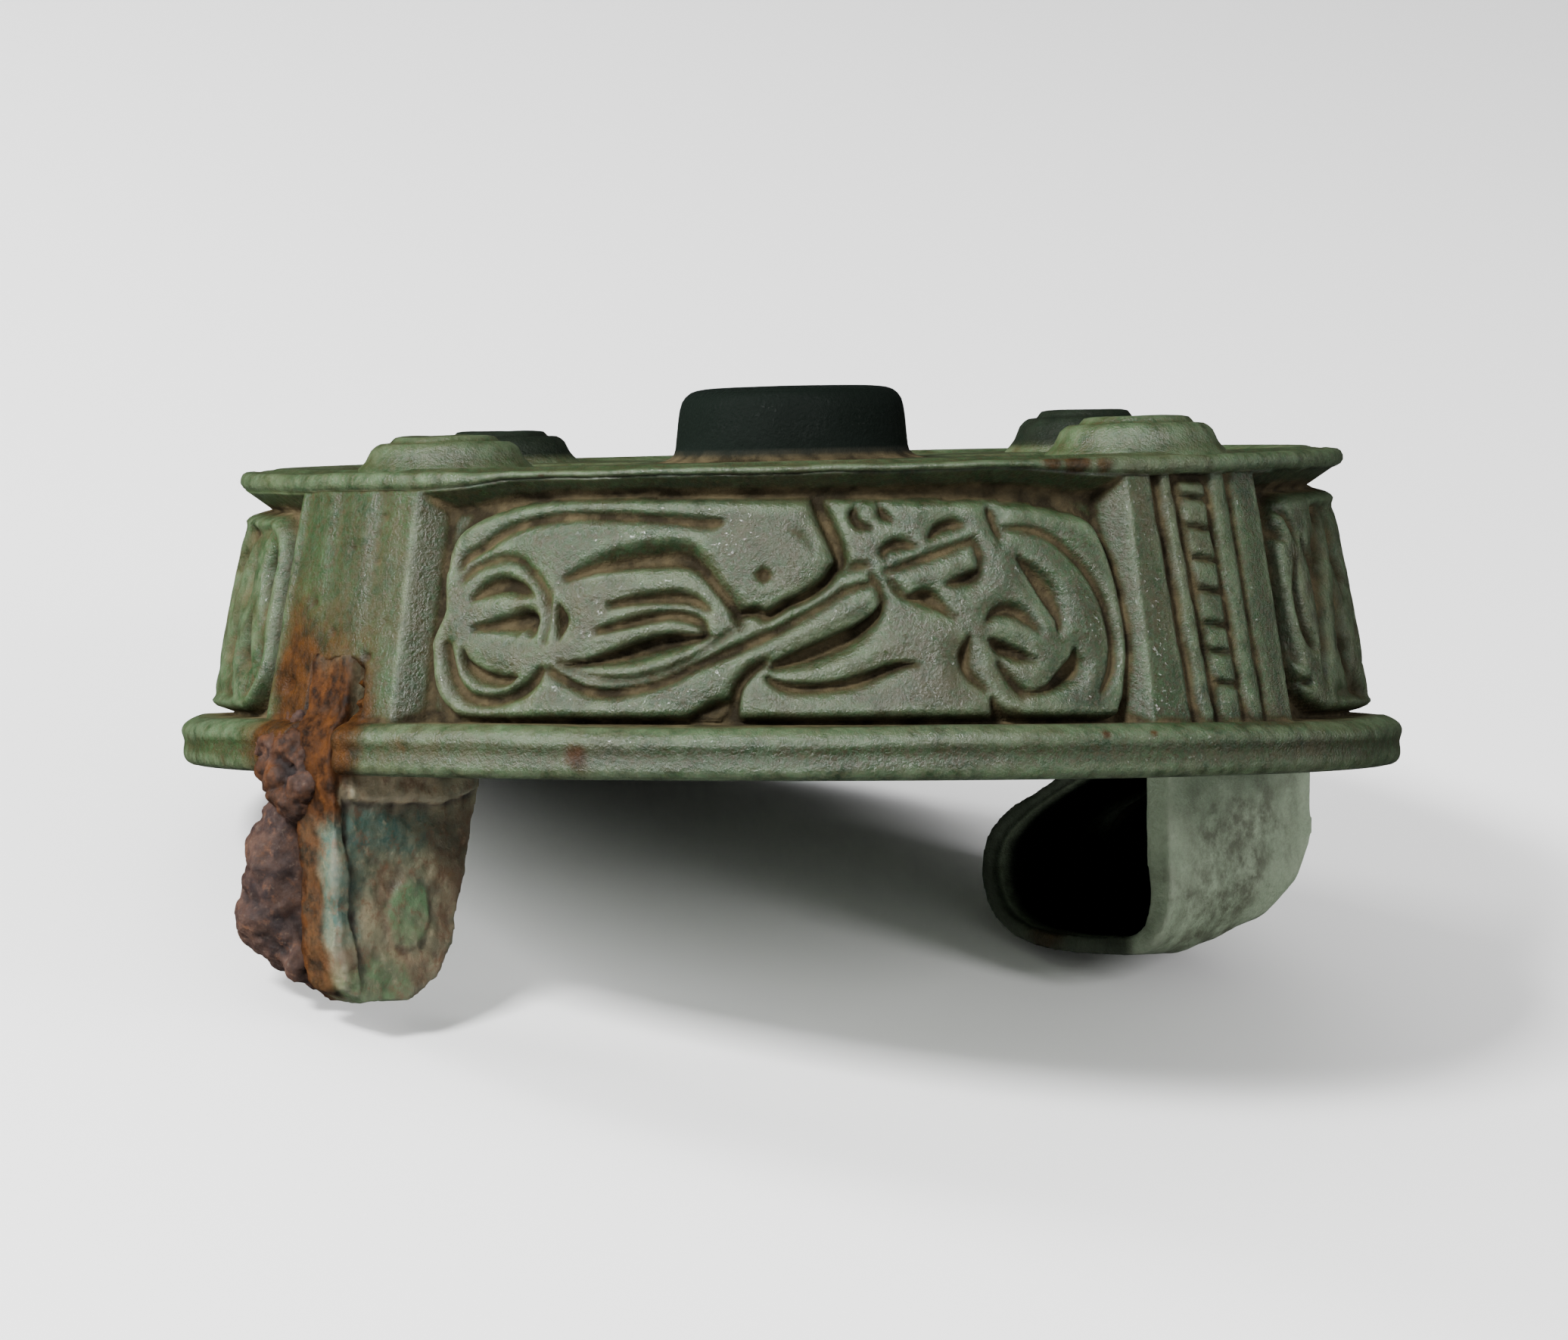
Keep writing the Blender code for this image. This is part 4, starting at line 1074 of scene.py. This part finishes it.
def build_iron():
    """Make the lumps of iron left of the pin, on the far side of the lug."""
    lumps = (
        (22.7, -1.9, -0.6, 0.8), (22.4, -2.6, -1.8, 1.25), (22.2, -3, -3.1, 1.75), (22.1, -3.3, -4.3, 1.85),
        (22.2, -3.4, -5.3, 1.8), (21.9, -3, -6.1, 1.5), (20.6, -3, -2.8, 1.8), (20.3, -3.2, -4.7, 2.1),
        (20.4, -2.9, -5.9, 1.7), (21.4, -2.2, -6.8, 1.1), (22.5, -2, -6.9, 0.75), (22.5, -4.7, -5.2, 0.6),
        (19.2, -2.7, -3.6, 1.6))
    iron = make_lumps("iron_lumps", [(*(run * OUTWARD + side * NEAR), *rest) for run, side, *rest in lumps])
    remeshed(iron, 0.14, 2)
    weather(iron, 0.42, 57, (1.3, 0.45))
    points = mark_wear(iron, 4, 16)
    side = points[:, :2] @ NEAR
    mark(iron, rust=0.8 * smooth(-2, -1.1, side + 0.5 * layered(points, 0.8, 58)))
    return iron


def build_crust():
    """Make the rust crust that sits on the rim and the foot of the wall left of the tang."""
    lumps = (
        (-20.2, 0.9, 0.55, 0.75), (-20.9, 1.1, 0.5, 0.7), (-21.6, 1, 0.5, 0.6), (-22.2, 1.2, 0.5, 0.42),
        (-20.4, 0, 0.4, 0.8), (-21.2, 0.2, 0.45, 0.6), (-20.3, -0.6, 0.2, 0.65), (-19.9, -1, 0.1, 0.7),
        (-20.3, 1.9, 0.1, 0.55), (-20.9, 2, 0, 0.42), (-20.4, 2.7, -0.25, 0.4), (-22.8, 1.1, 0.55, 0.28),
        (-19.4, 0.5, 0.5, 0.5), (-19.3, -0.4, 0.3, 0.6))
    places = [(*on_wall(u, z, out - CRUST_SUNK), radius) for u, z, out, radius in lumps]
    crust = make_lumps("rust_crust", places)
    remeshed(crust, 0.09, 1)
    weather(crust, 0.42, 59, (1.3, 0.35))
    points = mark_wear(crust, 4, 16)
    mark(crust, rust=0.9 * smooth(-0.5, 0.3, layered(points, 0.8, 60)))
    return crust


def add_camera():
    camera = bpy.data.cameras.new("camera")
    camera.sensor_width = SENSOR
    camera.lens = SENSOR * FOCAL_LENGTH / PHOTO_WIDTH
    camera.clip_start = 0.01
    view = add_object("camera", camera)
    place = Matrix.Translation([value * MM for value in CAMERA_PLACE])
    pitch = math.atan((MIDDLE_ROW - LEVEL_ROW) / FOCAL_LENGTH)
    view.matrix_world = RESTING @ place @ Matrix.Rotation(math.radians(90) - pitch, 4, "X")
    bpy.context.scene.camera = view


def add_light(name, place, aim, size, power, mirrored):
    light = bpy.data.lights.new(name, "AREA")
    light.shape = "RECTANGLE"
    light.size, light.size_y = size
    light.energy = power
    lamp = add_object(name, light)
    lamp.visible_glossy = mirrored
    facing = (Vector((0, 0, aim)) - Vector(place)).to_track_quat("-Z", "Y").to_matrix().to_4x4()
    lamp.matrix_world = RESTING @ Matrix.Translation(place) @ facing


def add_studio():
    """Add the pale floor, the soft lights and the pale surroundings."""
    bpy.ops.mesh.primitive_plane_add(size=6, location=(0, 0, -0.0001))
    floor = bpy.context.object
    floor.name = "floor"
    floor.visible_glossy = False
    made = Nodes("pale_floor", (0.71, 0.71, 0.71, 1))
    floor.data.materials.append(made.finish(0.95, made.noise(4), 0.02, 0.1))
    world = bpy.data.worlds.new("studio")
    world.use_nodes = True
    tree = world.node_tree
    which = tree.nodes.new("ShaderNodeMixShader")
    rays = tree.nodes.new("ShaderNodeLightPath")
    tree.links.new(rays.outputs["Is Glossy Ray"], which.inputs[0])
    backgrounds = (tree.nodes["Background"], tree.nodes.new("ShaderNodeBackground"))
    for index, (background, strength) in enumerate(zip(backgrounds, SURROUNDINGS)):
        background.inputs[0].default_value = (0.8, 0.8, 0.8, 1)
        background.inputs[1].default_value = strength
        tree.links.new(background.outputs[0], which.inputs[index + 1])
    tree.links.new(which.outputs[0], tree.nodes["World Output"].inputs[0])
    bpy.context.scene.world = world
    sky = bpy.data.lights.new("sky_soft", "SUN")
    sky.energy = 2.2
    sky.angle = math.radians(130)
    add_object("sky_soft", sky).visible_glossy = False
    for light in LIGHTS:
        add_light(*light)


def dress(piece, finish, slot, *nodes):
    """Give a piece its material and its body, and hide the nodes it stands for. Its slot is not used."""
    piece.data.transform(RESTING)
    piece.data.materials.clear()
    piece.data.materials.append(finish)
    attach(piece, "root")
    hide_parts(*nodes)


add_camera()
add_studio()
green = patina_material("drum_patina", (0.005, 0.014, 0.004), (0.012, 0.029, 0.008), (0.03, 0.05, 0.02),
                        (0.08, 0.12, 0.065), 0.24, 0.85)
# Patina of the catch and base plate, painted far paler than the drum's: partly their own greyer patina,
# partly painted light for the shade they lie in under the drum
plate_green_lightened = patina_material("plate_patina", (0.13, 0.175, 0.11), (0.18, 0.225, 0.15), (0.22, 0.25, 0.18),
                              (0.24, 0.27, 0.2), 0.4, 0.2)
iron_finish = iron_material()

dress(build_drum(), green, "drum_bronze", "drum")
dress(build_lug(), lug_material(), "plate_bronze", "base_plate")
dress(build_catch(), plate_green_lightened, "plate_bronze", "base_plate")
dress(build_plate(), plate_green_lightened, "plate_bronze", "base_plate")
dress(build_iron(), iron_finish, "corroded_iron", "iron_pin_remains")
dress(build_crust(), iron_finish, "corroded_iron", "iron_pin_remains")
